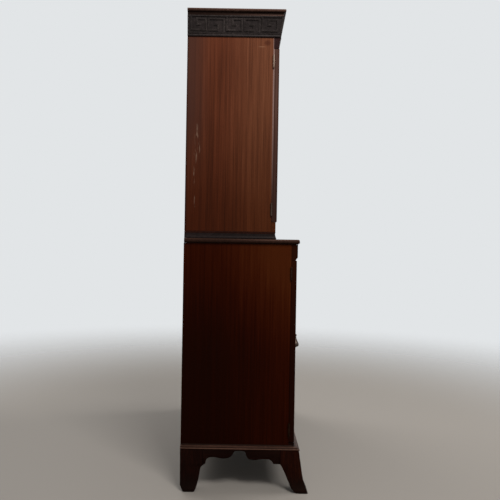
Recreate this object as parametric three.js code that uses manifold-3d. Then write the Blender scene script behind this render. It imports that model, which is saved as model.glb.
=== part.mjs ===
// A mahogany bookcase with glazed doors, standing on a cupboard with splayed feet.
// Millimetres, +Z up. The front faces -Y, and the origin is on the floor under the
// middle of the whole piece. Depths are measured forwards from the back plane.

import * as THREE from 'three';
import { mergeVertices } from 'three/addons/utils/BufferGeometryUtils.js';
import Module from 'manifold-3d';

const wasm = await Module();
wasm.setup();

// Heights, stacked up from the floor
const footHeight = 138.5;
const plinthHeight = 14;
const lowerSillHeight = 8.5;
const lowerDoorHeight = 645;
const friezeRailHeight = 57;
const topBoardThickness = 17;
const waistHeight = 26;
const upperSillHeight = 35;
const upperDoorHeight = 619;
const fasciaHeight = 39;
const beadHeight = 10;
const fretHeight = 62;
const capHeight = 24;

// Widths and depths of the two cases
const lowerWidth = 960;
const lowerDepth = 402;
const upperSetback = 15;
const upperDepth = 329;

// Boards
const lowerSideThickness = 19;
const upperSideThickness = 18;
const bottomThickness = 18;
const upperBoardThickness = 18;
const upperTopDrop = 5;
const shelfThickness = 17;
const shelfSetback = 14;
const backThickness = 8;
const rebateWidth = 9;
const housingDepth = 6;
const housedTongue = 8;
const sillStep = 1;
const shelfNoseDepth = 6;
const lowerGrooveCount = 4;
const lowerGroovePitch = 70;
const upperGrooveCount = 9;
const upperGroovePitch = 50;
const lowerShelfGrooves = { base_shelf: 1 };
const upperShelfGrooves = { shelf_lower: 2, shelf_upper: 6 };
const backBoardCount = 8;
const backJointDepth = 1.5;

// Gaps
const glueGap = 0.3;
const doorGap = 1.2;
const hingeGap = 0.6;
const runningGap = 0.3;
const overrun = 5;

// Projections of the mouldings beyond the case
const plinthProjection = 18.5;
const topBoardProjection = 9;
const topBoardBackGap = 1.5;
const friezeRailProud = 3;
const waistProjection = 3;
const waistWidth = 24;
const sillRecess = 4;
const fasciaProjection = 6.7;
const fasciaFootRecess = 1;
const beadProjection = 5.6;
const friezeWidth = 20;
const friezeFootProud = 2.1;
const friezeFlare = 10.3;
const capProjection = 21;

// Feet and aprons
const footProud = 16.5;
const toeSplay = 30;
const footWidth = 65.5;
const rearFootWidth = 80;
const shoulderDrop = 48.5;
const heelHeight = 28;
const heelInset = 7;
const heelRake = 4;
const rearShoulder = 10;
const frontShoulder = 20;
const apronThickness = 20;
const apronDrop = 31.5;
const notchHalfWidth = 20;
const notchSpread = 12;
const cuspWidth = 12;

// Doors
const lowerDoorThickness = 18.7;
const upperDoorThickness = 19.4;
const lowerStileWidth = 58;
const lowerRailWidth = 66;
const upperStileWidth = 46;
const upperRailWidth = 50;
const panelThickness = 11;
const panelTongue = 6;
const panelTongueDepth = 8;
const fieldMargin = 38;
const panelStep = 2;
const panelRecess = 3;
const stickingDepth = 6;
const stickingWidth = 7;
const glassThickness = 3;
const glassRebateDepth = 9.5;
const glassRebateWidth = 7;
const barWidth = 13;
const barHeight = 7.5;

// Hinges
const hingeLength = 46;
const hingeInset = 46;
const leafWidth = 15;
const leafThickness = 1.5;
const knuckleRadius = 3.4;
const pinRadius = 1.5;
const knuckleCount = 3;

// Drop pulls
const pullHeight = 472;
const pullInset = 27;
const roseRadius = 17;
const stemLength = 36;
const pivotProjection = 42;
const cheekThickness = 2;
const cheekReach = 4;
const pullPinRadius = 1.4;
const tongueThickness = 3.2;
const tongueRadius = 3.6;
const dropLength = 52;
const dropRadius = 14.5;

// Fret
const fretThickness = 3;
const fretLine = 4.7;
const fretRows = 6;
const fretCellTarget = 61;

// Fineness of round work
const knuckleSides = 12;
const latheSides = 16;
const bossSides = 12;
const apronSteps = 24;

// Profiles, each as [share of projection, share of height], from the inner foot round
const plinthShares = [
  [0, 0], [0.94, 0], [1, 0.08], [1, 0.34], [0.92, 0.46], [0.76, 0.5],
  [0.7, 0.6], [0.66, 0.8], [0.3, 1], [0, 1],
];
const waistShares = [
  [1, 0], [1, 0.16], [0.42, 0.26], [0.02, 0.44], [-0.3, 0.68], [-0.3, 0.84], [0.1, 0.84], [0.1, 1],
];
const topBoardShares = [
  [0.45, 0], [0.45, 0.1], [0.85, 0.18], [1, 0.36], [0.94, 0.64], [0.76, 0.88], [0.4, 1],
];
const capShares = [
  [0.66, 0], [0.6, 0.16], [0.64, 0.4], [0.86, 0.5], [0.97, 0.58], [1, 0.76], [0.96, 0.9], [0.82, 1],
];
const railOgeeShares = [[0.72, 0], [0.75, 0.06], [0.82, 0.11], [0.95, 0.15], [1, 0.2]];
const fasciaShares = [
  [0, 0], [0.03, 0.2], [0.12, 0.42], [0.3, 0.64], [0.6, 0.84], [0.85, 0.93], [1, 0.95], [1, 1],
];
const beadShares = [[0.6, 0], [0.92, 0.18], [1, 0.45], [0.92, 0.74], [0.62, 0.92]];
const stickingShares = [[0, 0], [0.16, 0.44], [0.48, 0.8], [1, 1]];
const barShares = [[1, 0], [1, 0.22], [0.66, 0.42], [0.44, 0.76], [0.2, 1]];
const footShares = [
  [0, 0.16], [0.06, 0.29], [0.165, 0.43], [0.3, 0.52], [0.474, 0.62], [0.7, 0.76], [0.86, 0.87],
  [0.95, 0.94], [1, 1],
];
const rearFootShares = [[0, 0.71], [0.165, 0.765], [0.474, 0.855], [0.86, 0.915], [0.93, 0.95], [1, 1]];
const footLevelShares = [0, 0.075, 0.155, 0.23, 0.31, 0.385, 0.46, 0.54, 0.62, 0.73, 0.84, 0.94, 1];
const splayShares = [
  [0, 0], [0.2, 0.135], [0.45, 0.29], [0.6, 0.37], [0.7, 0.43], [0.75, 0.48], [0.8, 0.57], [0.85, 0.75],
  [0.9, 0.9], [0.95, 0.97], [1, 1],
];
const apronNotchShares = [[0, 0.09], [0.5, 0.5], [1, 0.9], [2.5, 1]];
const apronCuspShares = [[3.5, 0.6], [2, 0.57], [1, 0.62], [0.33, 0.76], [0, 0.94]];
const shelfNoseShares = [[0, 0], [0.7, 0.06], [1, 0.3], [1, 0.52], [0.55, 0.6], [0.5, 0.86], [0.2, 1]];
const roseShares = [
  [1, 0], [1, 0.06], [0.88, 0.12], [0.5, 0.16], [0.32, 0.26], [0.25, 0.46], [0.25, 0.68], [0.36, 0.84], [0.33, 1],
];
const dropShares = [
  [0.3, 0.13], [0.26, 0.2], [0.34, 0.3], [0.54, 0.45], [0.82, 0.62], [1, 0.77], [0.94, 0.89], [0.62, 0.97],
];
const neckShare = 0.2;

// The glazing pattern, as shares of the width and height of a door's opening
const octagonShares = [
  [0.25, 0.36], [0.25, 0.64], [0.4, 0.82], [0.6, 0.82], [0.75, 0.64], [0.75, 0.36], [0.6, 0.18], [0.4, 0.18],
];
const rayShares = [[0, 0.36], [0, 0.64], [0.4, 1], [0.6, 1], [1, 0.64], [1, 0.36], [0.6, 0], [0.4, 0]];

// One hook of the fret, in line widths and gaps counted from its lower left corner
const hookSteps = [[0, 6], [0, 1], [5, 1], [5, 5], [2, 5], [2, 3], [3, 3]];
const hookColumnCount = 6;

// Levels and places that follow
const lowerDoorFoot = footHeight + plinthHeight + lowerSillHeight;
const friezeRailFoot = lowerDoorFoot + lowerDoorHeight;
const topBoardFoot = friezeRailFoot + friezeRailHeight;
const waistFoot = topBoardFoot + topBoardThickness;
const upperFoot = waistFoot + waistHeight;
const upperDoorFoot = upperFoot + upperSillHeight;
const fasciaFoot = upperDoorFoot + upperDoorHeight;
const corniceFoot = fasciaFoot + fasciaHeight;
const fretFoot = corniceFoot + beadHeight;
const capFoot = fretFoot + fretHeight;

const overallDepth = lowerDepth + footProud + toeSplay;
const backPlane = overallDepth / 2;
const fromBack = depth => backPlane - depth;
const lowerSideX = lowerWidth / 2;
const upperSideX = lowerSideX - upperSetback;
const lowerSideDepth = lowerDepth - lowerDoorThickness - hingeGap;
const upperSideDepth = upperDepth - upperDoorThickness - hingeGap;

// Finishes
const mahogany = new THREE.MeshStandardMaterial({ color: 0x5c2a18, roughness: 0.42, metalness: 0 });
const darkMahogany = new THREE.MeshStandardMaterial({ color: 0x33190f, roughness: 0.4, metalness: 0 });
const ebonised = new THREE.MeshStandardMaterial({ color: 0x2b2422, roughness: 0.5, metalness: 0 });
const plainWood = new THREE.MeshStandardMaterial({ color: 0x6d4a30, roughness: 0.7, metalness: 0 });
const brass = new THREE.MeshStandardMaterial({ color: 0x8a6a3c, roughness: 0.38, metalness: 1 });
const glassPane = new THREE.MeshStandardMaterial({
  color: 0xdfe8e4, roughness: 0.05, metalness: 0, transparent: true, opacity: 0.3,
});

// Solids

// Six times the volume that a closed, indexed mesh holds, negative when it is inside out
function signedVolume(positions, index) {
  const [a, b, c] = [new THREE.Vector3(), new THREE.Vector3(), new THREE.Vector3()];
  let sum = 0;
  for (let i = 0; i < index.length; i += 3) {
    a.fromArray(positions, 3 * index[i]);
    b.fromArray(positions, 3 * index[i + 1]);
    c.fromArray(positions, 3 * index[i + 2]);
    sum += a.dot(b.cross(c));
  }
  return sum;
}

function toSolid(geometry) {
  const bare = geometry.index ? geometry.toNonIndexed() : geometry.clone();
  bare.deleteAttribute('normal');
  bare.deleteAttribute('uv');
  const merged = mergeVertices(bare);
  const triVerts = new Uint32Array(merged.index.array);
  if (signedVolume(merged.attributes.position.array, triVerts) < 0) triVerts.reverse();
  return new wasm.Manifold(new wasm.Mesh({
    numProp: 3,
    vertProperties: merged.attributes.position.array,
    triVerts,
  }));
}

function toGeometry(solid) {
  const mesh = solid.getMesh();
  const geometry = new THREE.BufferGeometry();
  geometry.setAttribute('position', new THREE.BufferAttribute(mesh.vertProperties, mesh.numProp));
  geometry.setIndex(new THREE.BufferAttribute(mesh.triVerts, 1));
  return geometry;
}

function join(...geometries) {
  const solids = geometries.map(toSolid);
  return toGeometry(solids.reduce((whole, piece) => whole.add(piece)));
}

function cut(geometry, ...tools) {
  return toGeometry(tools.reduce((whole, tool) => whole.subtract(toSolid(tool)), toSolid(geometry)));
}

function keepInside(geometry, envelope) {
  return toGeometry(toSolid(geometry).intersect(toSolid(envelope)));
}

// Skins a stack of rings of equal count and closes both ends with the triangles given
function loft(rings, endFaces) {
  const count = rings[0].length;
  const positions = rings.flat().flatMap(point => point.toArray());
  const index = [];
  for (let ring = 0; ring + 1 < rings.length; ring += 1) {
    for (let i = 0; i < count; i += 1) {
      const a = ring * count + i;
      const b = ring * count + (i + 1) % count;
      index.push(a, b, b + count, a, b + count, a + count);
    }
  }
  const last = (rings.length - 1) * count;
  for (const [a, b, c] of endFaces) index.push(a, c, b, last + a, last + b, last + c);
  if (signedVolume(positions, index) < 0) index.reverse();
  const geometry = new THREE.BufferGeometry();
  geometry.setAttribute('position', new THREE.Float32BufferAttribute(positions, 3));
  geometry.setIndex(index);
  return geometry;
}

// Triangles that fill an outline, all turned the way the outline runs
function fill(outline) {
  const points = outline.map(([a, b]) => new THREE.Vector2(a, b));
  const clockwise = THREE.ShapeUtils.isClockWise(points);
  return THREE.ShapeUtils.triangulateShape(points, []).map(([a, b, c]) => {
    const turn = THREE.ShapeUtils.isClockWise([points[a], points[b], points[c]]);
    return turn === clockwise ? [a, b, c] : [a, c, b];
  });
}

const quadFaces = [[0, 1, 2], [0, 2, 3]];

// A squared board between two limits on each axis
function board([x0, x1], [y0, y1], [z0, z1]) {
  const box = new THREE.Box3().setFromPoints([new THREE.Vector3(x0, y0, z0), new THREE.Vector3(x1, y1, z1)]);
  const size = box.getSize(new THREE.Vector3());
  const centre = box.getCenter(new THREE.Vector3());
  return new THREE.BoxGeometry(size.x, size.y, size.z).translate(centre.x, centre.y, centre.z);
}

// An outline drawn square to one axis and carried along it from start to end
const axisX = new THREE.Vector3(1, 0, 0);
const axisY = new THREE.Vector3(0, 1, 0);
const axisZ = new THREE.Vector3(0, 0, 1);
const extrudeBases = {
  x: [axisY, axisZ, axisX],
  y: [axisX, axisZ, axisY.clone().negate()],
  z: [axisX, axisY, axisZ],
};

function extrude(outline, axis, [start, end]) {
  const shape = new THREE.Shape(outline.map(([a, b]) => new THREE.Vector2(a, b)));
  const low = Math.min(start, end);
  const high = Math.max(start, end);
  const depth = high - low;
  const geometry = new THREE.ExtrudeGeometry(shape, { depth, bevelEnabled: false });
  geometry.applyMatrix4(new THREE.Matrix4().makeBasis(...extrudeBases[axis]));
  const shift = axis === 'y' ? high : low;
  return geometry.translate(...['x', 'y', 'z'].map(name => (name === axis ? shift : 0)));
}

function rod(radius, axis, [start, end], [a, b], sides) {
  const geometry = new THREE.CylinderGeometry(radius, radius, end - start, sides);
  const middle = (start + end) / 2;
  if (axis === 'x') return geometry.rotateZ(Math.PI / 2).translate(middle, a, b);
  return geometry.rotateX(Math.PI / 2).translate(a, b, middle);
}

// A moulding that runs round a path of corners, mitred where it turns
function mouldingRun(profile, path) {
  const corners = path.map(([x, y]) => new THREE.Vector2(x, y));
  const outwards = corners.slice(1).map((corner, i) => {
    const along = corner.clone().sub(corners[i]).normalize();
    return new THREE.Vector2(along.y, -along.x);
  });
  const rings = corners.map((corner, i) => {
    const before = outwards[Math.max(i - 1, 0)];
    const after = outwards[Math.min(i, outwards.length - 1)];
    const mitre = before.clone().add(after).divideScalar(1 + before.dot(after));
    return profile.map(([out, height]) => {
      const place = corner.clone().addScaledVector(mitre, out);
      return new THREE.Vector3(place.x, place.y, height);
    });
  });
  return loft(rings, fill(profile));
}

// A flat board whose front and side edges follow a profile of [projection, height] points
function mouldedBoard(profile, sideX, frontDepth, backGap) {
  const rings = profile.map(([out, height]) => [
    new THREE.Vector3(-sideX - out, fromBack(backGap), height),
    new THREE.Vector3(-sideX - out, fromBack(frontDepth + out), height),
    new THREE.Vector3(sideX + out, fromBack(frontDepth + out), height),
    new THREE.Vector3(sideX + out, fromBack(backGap), height),
  ]);
  return loft(rings, quadFaces);
}

// Turns shares of a projection and a height into a profile in millimetres
const profileOf = (shares, projection, foot, height) => shares.map(
  ([out, up]) => [out * projection, foot + up * height],
);

// The path round the back left, front left, front right and back right corners of a case
const threeSides = (sideX, frontDepth) => [
  [-sideX, fromBack(0)], [-sideX, fromBack(frontDepth)], [sideX, fromBack(frontDepth)], [sideX, fromBack(0)],
];

// The scene graph

const bookcase = new THREE.Group();

// A group whose own origin is a point of the whole piece, such as a hinge axis
function groupAt(parent, x, y, z) {
  parent.updateWorldMatrix(true, false);
  const group = new THREE.Group();
  group.position.copy(parent.worldToLocal(new THREE.Vector3(x, y, z)));
  parent.add(group);
  return group;
}

function place(group, name, geometry, material) {
  group.updateWorldMatrix(true, false);
  geometry.applyMatrix4(group.matrixWorld.clone().invert());
  geometry.computeVertexNormals();
  const mesh = new THREE.Mesh(geometry, material);
  mesh.name = name;
  group.add(mesh);
}

const hands = [['left', -1], ['right', 1]];

// Case sides, grooved for what they hold

function grooveLevels(count, pitch, low, high) {
  const first = (low + high - (count - 1) * pitch) / 2;
  return Array.from({ length: count }, (_, i) => first + i * pitch);
}

const lowerGrooves = grooveLevels(lowerGrooveCount, lowerGroovePitch, lowerDoorFoot, topBoardFoot);
const upperGrooves = grooveLevels(upperGrooveCount, upperGroovePitch, upperDoorFoot, fasciaFoot);

// A side board with housings cut across its inner face, a rebate for the back and hinge recesses
function caseSide(hand, { outerX, thickness, depth, foot, head, housings, hinges }) {
  const innerX = outerX - thickness;
  const outline = [[outerX, foot], [outerX, head], [innerX, head]];
  for (const [low, high] of [...housings].sort((a, b) => b[0] - a[0])) {
    outline.push([innerX, high], [innerX + housingDepth, high], [innerX + housingDepth, low], [innerX, low]);
  }
  outline.push([innerX, foot]);
  const side = extrude(outline.map(([x, z]) => [hand * x, z]), 'y', [fromBack(depth), fromBack(0)]);
  const rebate = board(
    [hand * (innerX - overrun), hand * (innerX + rebateWidth)],
    [fromBack(backThickness + glueGap), fromBack(-overrun)],
    [foot - overrun, head + overrun],
  );
  const recesses = hinges.map(level => leafRecess(hand, outerX, fromBack(depth), 1, level));
  return cut(side, rebate, ...recesses);
}

// The pocket that a hinge leaf lies in: turn is 1 behind the joint and -1 in front of it
function leafRecess(hand, outerX, faceY, turn, level) {
  return board(
    [hand * (outerX - leafWidth - glueGap), hand * (outerX + overrun)],
    [faceY - turn * overrun, faceY + turn * (leafThickness + glueGap)],
    [level - hingeLength / 2 - glueGap, level + hingeLength / 2 + glueGap],
  );
}

const housingAt = level => [level - glueGap, level + housedTongue + glueGap];
const hingeLevels = (foot, height) => [foot + hingeInset, foot + height - hingeInset];
const lowerHingeLevels = hingeLevels(lowerDoorFoot, lowerDoorHeight);
const upperHingeLevels = hingeLevels(upperDoorFoot, upperDoorHeight);

// A board between the sides, with a tongue along the foot of each end that fits a housing
function housedBoard(sideInnerX, [backDepth, frontDepth], level, thickness) {
  const shoulder = sideInnerX - glueGap;
  const tongue = shoulder + housingDepth;
  const tongueHead = level + housedTongue;
  const head = level + thickness;
  const outline = [
    [-tongue, level], [tongue, level], [tongue, tongueHead], [shoulder, tongueHead],
    [shoulder, head], [-shoulder, head], [-shoulder, tongueHead], [-tongue, tongueHead],
  ];
  return extrude(outline, 'y', [fromBack(frontDepth), fromBack(backDepth)]);
}

// A shelf is a housed board with a moulded nosing along its front edge
function shelfBoard(sideInnerX, sideDepth, level) {
  const noseDepth = sideDepth - shelfSetback - shelfNoseDepth;
  const shelf = housedBoard(sideInnerX, [interiorBack, noseDepth], level, shelfThickness);
  const nose = shelfNoseShares.map(([out, down]) => [
    fromBack(noseDepth + out * shelfNoseDepth), level + (1 - down) * shelfThickness,
  ]);
  const [rootY, head] = [fromBack(noseDepth - shelfNoseDepth), level + shelfThickness];
  const outline = [...nose, [rootY, level], [rootY, head]];
  return join(shelf, extrude(outline, 'x', [glueGap - sideInnerX, sideInnerX - glueGap]));
}

// The boarded back, with a small V joint between its boards
function boardedBack(halfWidth, low, high) {
  const rear = fromBack(glueGap);
  const front = fromBack(backThickness);
  const pitch = 2 * halfWidth / backBoardCount;
  const outline = [[-halfWidth, front], [halfWidth, front], [halfWidth, rear]];
  for (let joint = backBoardCount - 1; joint > 0; joint -= 1) {
    const x = joint * pitch - halfWidth;
    outline.push([x + backJointDepth, rear], [x, rear - backJointDepth], [x - backJointDepth, rear]);
  }
  outline.push([-halfWidth, rear]);
  return extrude(outline, 'z', [low, high]);
}

// The lower case

const lowerInnerX = lowerSideX - lowerSideThickness;
const upperInnerX = upperSideX - upperSideThickness;
const interiorBack = backThickness + 2 * glueGap;

function buildLowerCase(group) {
  const foot = footHeight + glueGap;
  const bottomFoot = lowerDoorFoot - bottomThickness;
  for (const [name, hand] of hands) {
    place(group, `base_side_${name}`, caseSide(hand, {
      outerX: lowerSideX,
      thickness: lowerSideThickness,
      depth: lowerSideDepth,
      foot,
      head: topBoardFoot - glueGap,
      housings: [bottomFoot, ...lowerGrooves].map(housingAt),
      hinges: lowerHingeLevels,
    }), mahogany);
  }

  const lip = board(
    [-lowerSideX, lowerSideX],
    [fromBack(lowerDepth), fromBack(lowerSideDepth + glueGap)],
    [foot, lowerDoorFoot],
  );
  const bottomDepths = [interiorBack, (lowerSideDepth + lowerDepth) / 2];
  const bottom = housedBoard(lowerInnerX, bottomDepths, bottomFoot, bottomThickness);
  const doorStep = board(
    [-lowerWidth, lowerWidth],
    [fromBack(lowerDepth + overrun), fromBack(lowerSideDepth)],
    [lowerDoorFoot - sillStep, lowerDoorFoot + overrun],
  );
  place(group, 'base_bottom', cut(join(bottom, lip), doorStep), darkMahogany);

  for (const [name, groove] of Object.entries(lowerShelfGrooves)) {
    place(group, name, shelfBoard(lowerInnerX, lowerSideDepth, lowerGrooves[groove]), plainWood);
  }

  const backReach = lowerInnerX + rebateWidth - glueGap;
  place(group, 'base_back', boardedBack(backReach, foot, topBoardFoot - glueGap), plainWood);

  const railFace = lowerDepth + friezeRailProud;
  const railDepth = railFace - lowerSideDepth - glueGap;
  const ogee = railOgeeShares.map(([out, up]) => [
    fromBack(lowerSideDepth + glueGap + out * railDepth), friezeRailFoot + up * friezeRailHeight,
  ]);
  const railBack = fromBack(lowerSideDepth + glueGap);
  const railHead = topBoardFoot - glueGap;
  const railOutline = [
    [railBack, friezeRailFoot], ...ogee, [fromBack(railFace), railHead], [railBack, railHead],
  ];
  place(group, 'base_frieze_rail', extrude(railOutline, 'x', [-lowerSideX, lowerSideX]), mahogany);

  const topProfile = profileOf(topBoardShares, topBoardProjection, topBoardFoot, topBoardThickness);
  place(group, 'base_top', mouldedBoard(topProfile, lowerSideX, lowerDepth, topBoardBackGap), darkMahogany);

  const plinthProfile = profileOf(
    plinthShares, plinthProjection, footHeight + glueGap, plinthHeight - glueGap,
  ).map(([out, height]) => [out + glueGap, height]);
  place(group, 'base_moulding', mouldingRun(plinthProfile, threeSides(lowerSideX, lowerDepth)), darkMahogany);
}

// Feet and aprons

const lerp = THREE.MathUtils.lerp;

// Reads a curve of share points, such as [height, width], at a share of its first direction
function readShares(shares, at) {
  const next = Math.max(1, shares.findIndex(([share]) => share >= at));
  const [[a0, b0], [a1, b1]] = [shares[next - 1], shares[next]];
  return lerp(b0, b1, (at - a0) / (a1 - a0));
}

const kneeHeight = footHeight - shoulderDrop;
const footOuterX = lowerSideX + footProud;
const footFrontDepth = lowerDepth + footProud;

// How far the outer faces have swept out at a height
const splayAt = height => toeSplay * readShares(splayShares, 1 - height / footHeight);

const widthAt = (shares, width, height) => (
  height >= kneeHeight ? width : width * readShares(shares, height / kneeHeight)
);

// A rear foot's back edge rakes forward a little all the way and more near the sole
function heelAt(height) {
  const lift = Math.max(0, 1 - height / heelHeight);
  return heelRake * (1 - height / footHeight) + heelInset * lift * lift;
}

// A foot is squared at every level: its outer faces sweep out, its inner faces follow the apron
function foot(hand, rear) {
  const kneeLevels = footLevelShares.map(share => share * kneeHeight);
  const levels = [...kneeLevels, (kneeHeight + footHeight) / 2, footHeight];
  const rings = levels.map(height => {
    const outer = splayAt(height);
    const outX = hand * (footOuterX + outer);
    const inX = hand * (footOuterX - widthAt(footShares, footWidth, height));
    const front = rear ? widthAt(rearFootShares, rearFootWidth, height) : footFrontDepth + outer;
    const back = rear ? heelAt(height) : footFrontDepth - widthAt(footShares, footWidth, height);
    return [
      new THREE.Vector3(inX, fromBack(back), height),
      new THREE.Vector3(inX, fromBack(front), height),
      new THREE.Vector3(outX, fromBack(front), height),
      new THREE.Vector3(outX, fromBack(back), height),
    ];
  });
  return loft(rings, quadFaces);
}

// One half of an apron's lower edge, from the middle notch to the square end at the foot
function apronEdge(centre, turn, cuspAt, endAt) {
  const at = (along, down) => new THREE.Vector2(centre + turn * along, footHeight - down);
  const spline = new THREE.SplineCurve([
    ...apronNotchShares.map(([out, down]) => at(notchHalfWidth + out * notchSpread, down * apronDrop)),
    ...apronCuspShares.map(([back, down]) => at(cuspAt - back * cuspWidth, down * shoulderDrop)),
  ]);
  return [...spline.getPoints(apronSteps), at(cuspAt, shoulderDrop), at(endAt, shoulderDrop), at(endAt, 0)];
}

// The outline of an apron between two feet, each with its shoulder beside the foot
function apronOutline([start, startShoulder], [end, endShoulder]) {
  const centre = (start + startShoulder + end - endShoulder) / 2;
  const cuspAt = end - endShoulder - centre;
  const first = apronEdge(centre, -1, cuspAt, centre - start);
  const second = apronEdge(centre, 1, cuspAt, end - centre);
  return [...first.reverse(), ...second].map(point => [point.x, point.y]);
}

function buildFeet(group) {
  for (const [name, hand] of hands) {
    place(group, `foot_front_${name}`, foot(hand, false), darkMahogany);
    place(group, `foot_rear_${name}`, foot(hand, true), darkMahogany);
    const outline = apronOutline(
      [rearFootWidth + glueGap, rearShoulder],
      [footFrontDepth - footWidth - glueGap, frontShoulder],
    ).map(([depth, height]) => [fromBack(depth), height]);
    const apron = extrude(outline, 'x', [hand * footOuterX, hand * (footOuterX - apronThickness)]);
    place(group, `apron_${name}`, apron, darkMahogany);
  }
  const reach = footOuterX - footWidth - glueGap;
  const outline = apronOutline([-reach, frontShoulder], [reach, frontShoulder]);
  const apron = extrude(outline, 'y', [fromBack(footFrontDepth), fromBack(footFrontDepth - apronThickness)]);
  place(group, 'apron_front', apron, darkMahogany);
}

// The upper case

function buildUpperCase(group) {
  const caseFoot = upperFoot + glueGap;
  const bottomLevel = upperDoorFoot - bottomThickness;
  const topLevel = corniceFoot - upperBoardThickness - upperTopDrop;
  for (const [name, hand] of hands) {
    place(group, `upper_side_${name}`, caseSide(hand, {
      outerX: upperSideX,
      thickness: upperSideThickness,
      depth: upperSideDepth,
      foot: caseFoot,
      head: corniceFoot,
      housings: [bottomLevel, ...upperGrooves, topLevel].map(housingAt),
      hinges: upperHingeLevels,
    }), mahogany);
  }
  const boardDepths = [interiorBack, upperSideDepth];
  const bottom = housedBoard(upperInnerX, boardDepths, bottomLevel, bottomThickness);
  place(group, 'upper_bottom', bottom, plainWood);
  place(group, 'upper_top', housedBoard(upperInnerX, boardDepths, topLevel, upperBoardThickness), plainWood);
  for (const [name, groove] of Object.entries(upperShelfGrooves)) {
    place(group, name, shelfBoard(upperInnerX, upperSideDepth, upperGrooves[groove]), mahogany);
  }
  const backReach = upperInnerX + rebateWidth - glueGap;
  place(group, 'upper_back', boardedBack(backReach, caseFoot, corniceFoot), plainWood);

  const railBack = upperSideDepth + glueGap;
  const sill = board(
    [-upperSideX, upperSideX],
    [fromBack(upperDepth - sillRecess), fromBack(railBack)],
    [caseFoot, upperDoorFoot],
  );
  place(group, 'upper_sill', sill, mahogany);

  const cove = profileOf(fasciaShares, fasciaProjection, fasciaFoot, fasciaHeight)
    .map(([out, height]) => [fromBack(upperDepth - fasciaFootRecess + out), height]);
  const fasciaOutline = [[fromBack(railBack), fasciaFoot], ...cove, [fromBack(railBack), corniceFoot]];
  place(group, 'upper_fascia', extrude(fasciaOutline, 'x', [-upperSideX, upperSideX]), darkMahogany);

  const waistProfile = [
    [-waistWidth, waistFoot + glueGap],
    ...profileOf(waistShares, waistProjection, waistFoot + glueGap, waistHeight - glueGap),
    [-waistWidth, upperFoot],
  ];
  const waistRun = mouldingRun(waistProfile, threeSides(upperSideX, upperDepth - sillRecess));
  const waistBack = backStrip(upperSideX - waistWidth, waistWidth / 2, [waistFoot + glueGap, upperFoot], 0);
  place(group, 'waist_moulding', join(waistRun, waistBack), ebonised);
}

// A strip that closes the back of a three-sided run, let into its ends by half their width
function backStrip(innerX, letIn, [low, high], flare) {
  const reach = innerX + letIn;
  const outline = [[-reach, low], [reach, low], [reach + flare, high], [-reach - flare, high]];
  return extrude(outline, 'y', [fromBack(backThickness), fromBack(0)]);
}

// The cornice: a flared frieze with a fret planted on three sides, under a moulded cap

const fretTilt = Math.atan2(friezeFlare, fretHeight);
const fretSlant = (fretHeight - 2 * glueGap) / Math.cos(fretTilt);
const mitreReach = 2 * (lowerWidth + lowerDepth);

// Everything on one side of a corner's mitre: turns point from the corner into the kept side
function mitreEnvelope(hand, turnX, turnY) {
  const apart = (mitreReach + glueGap) / 2 / Math.SQRT2;
  return new THREE.BoxGeometry(mitreReach, mitreReach, mitreReach)
    .rotateZ(Math.PI / 4)
    .translate(hand * upperSideX + turnX * apart, fromBack(upperDepth) + turnY * apart, fretFoot);
}

// A flat strip of fret: two rails, an end bar at each end and a row of hooks, alternately turned
// over. Lengths run along the strip, rows up it. An end that is mitred leans with the corner.
function fretStrip(length, leans) {
  const cells = Math.max(1, Math.round((length - fretLine) / fretCellTarget));
  const pitch = (length - fretLine) / (cells * hookColumnCount + 1);
  const rowPitch = (fretSlant - fretLine) / fretRows;
  const half = fretLine / 2;
  const line = ([u0, v0], [u1, v1]) => board(
    [Math.min(u0, u1) - half, Math.max(u0, u1) + half],
    [Math.min(v0, v1) - half, Math.max(v0, v1) + half],
    [0, fretThickness],
  );
  const at = (column, row) => [half + column * pitch, half + row * rowPitch];
  const [leanStart, leanEnd] = leans.map(leaning => (leaning ? friezeFlare + overrun : 0));
  const pieces = [0, fretSlant - fretLine].map(foot => board(
    [-leanStart, length + leanEnd], [foot, foot + fretLine], [0, fretThickness],
  ));
  const endBar = (u, turn, lean) => extrude([
    [u, 0], [u + turn * lean, fretSlant], [u + turn * (lean - fretLine), fretSlant], [u - turn * fretLine, 0],
  ], 'z', [0, fretThickness]);
  const flareOf = leaning => (leaning ? friezeFlare : 0);
  pieces.push(endBar(0, -1, flareOf(leans[0])), endBar(length, 1, flareOf(leans[1])));
  for (let cell = 0; cell < cells; cell += 1) {
    const turned = cell % 2 === 1;
    const first = 1 + cell * hookColumnCount;
    const points = hookSteps.map(([column, row]) => (
      turned ? at(first + hookColumnCount - 1 - column, fretRows - row) : at(first + column, row)
    ));
    for (let i = 0; i + 1 < points.length; i += 1) pieces.push(line(points[i], points[i + 1]));
  }
  return join(...pieces);
}

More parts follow.
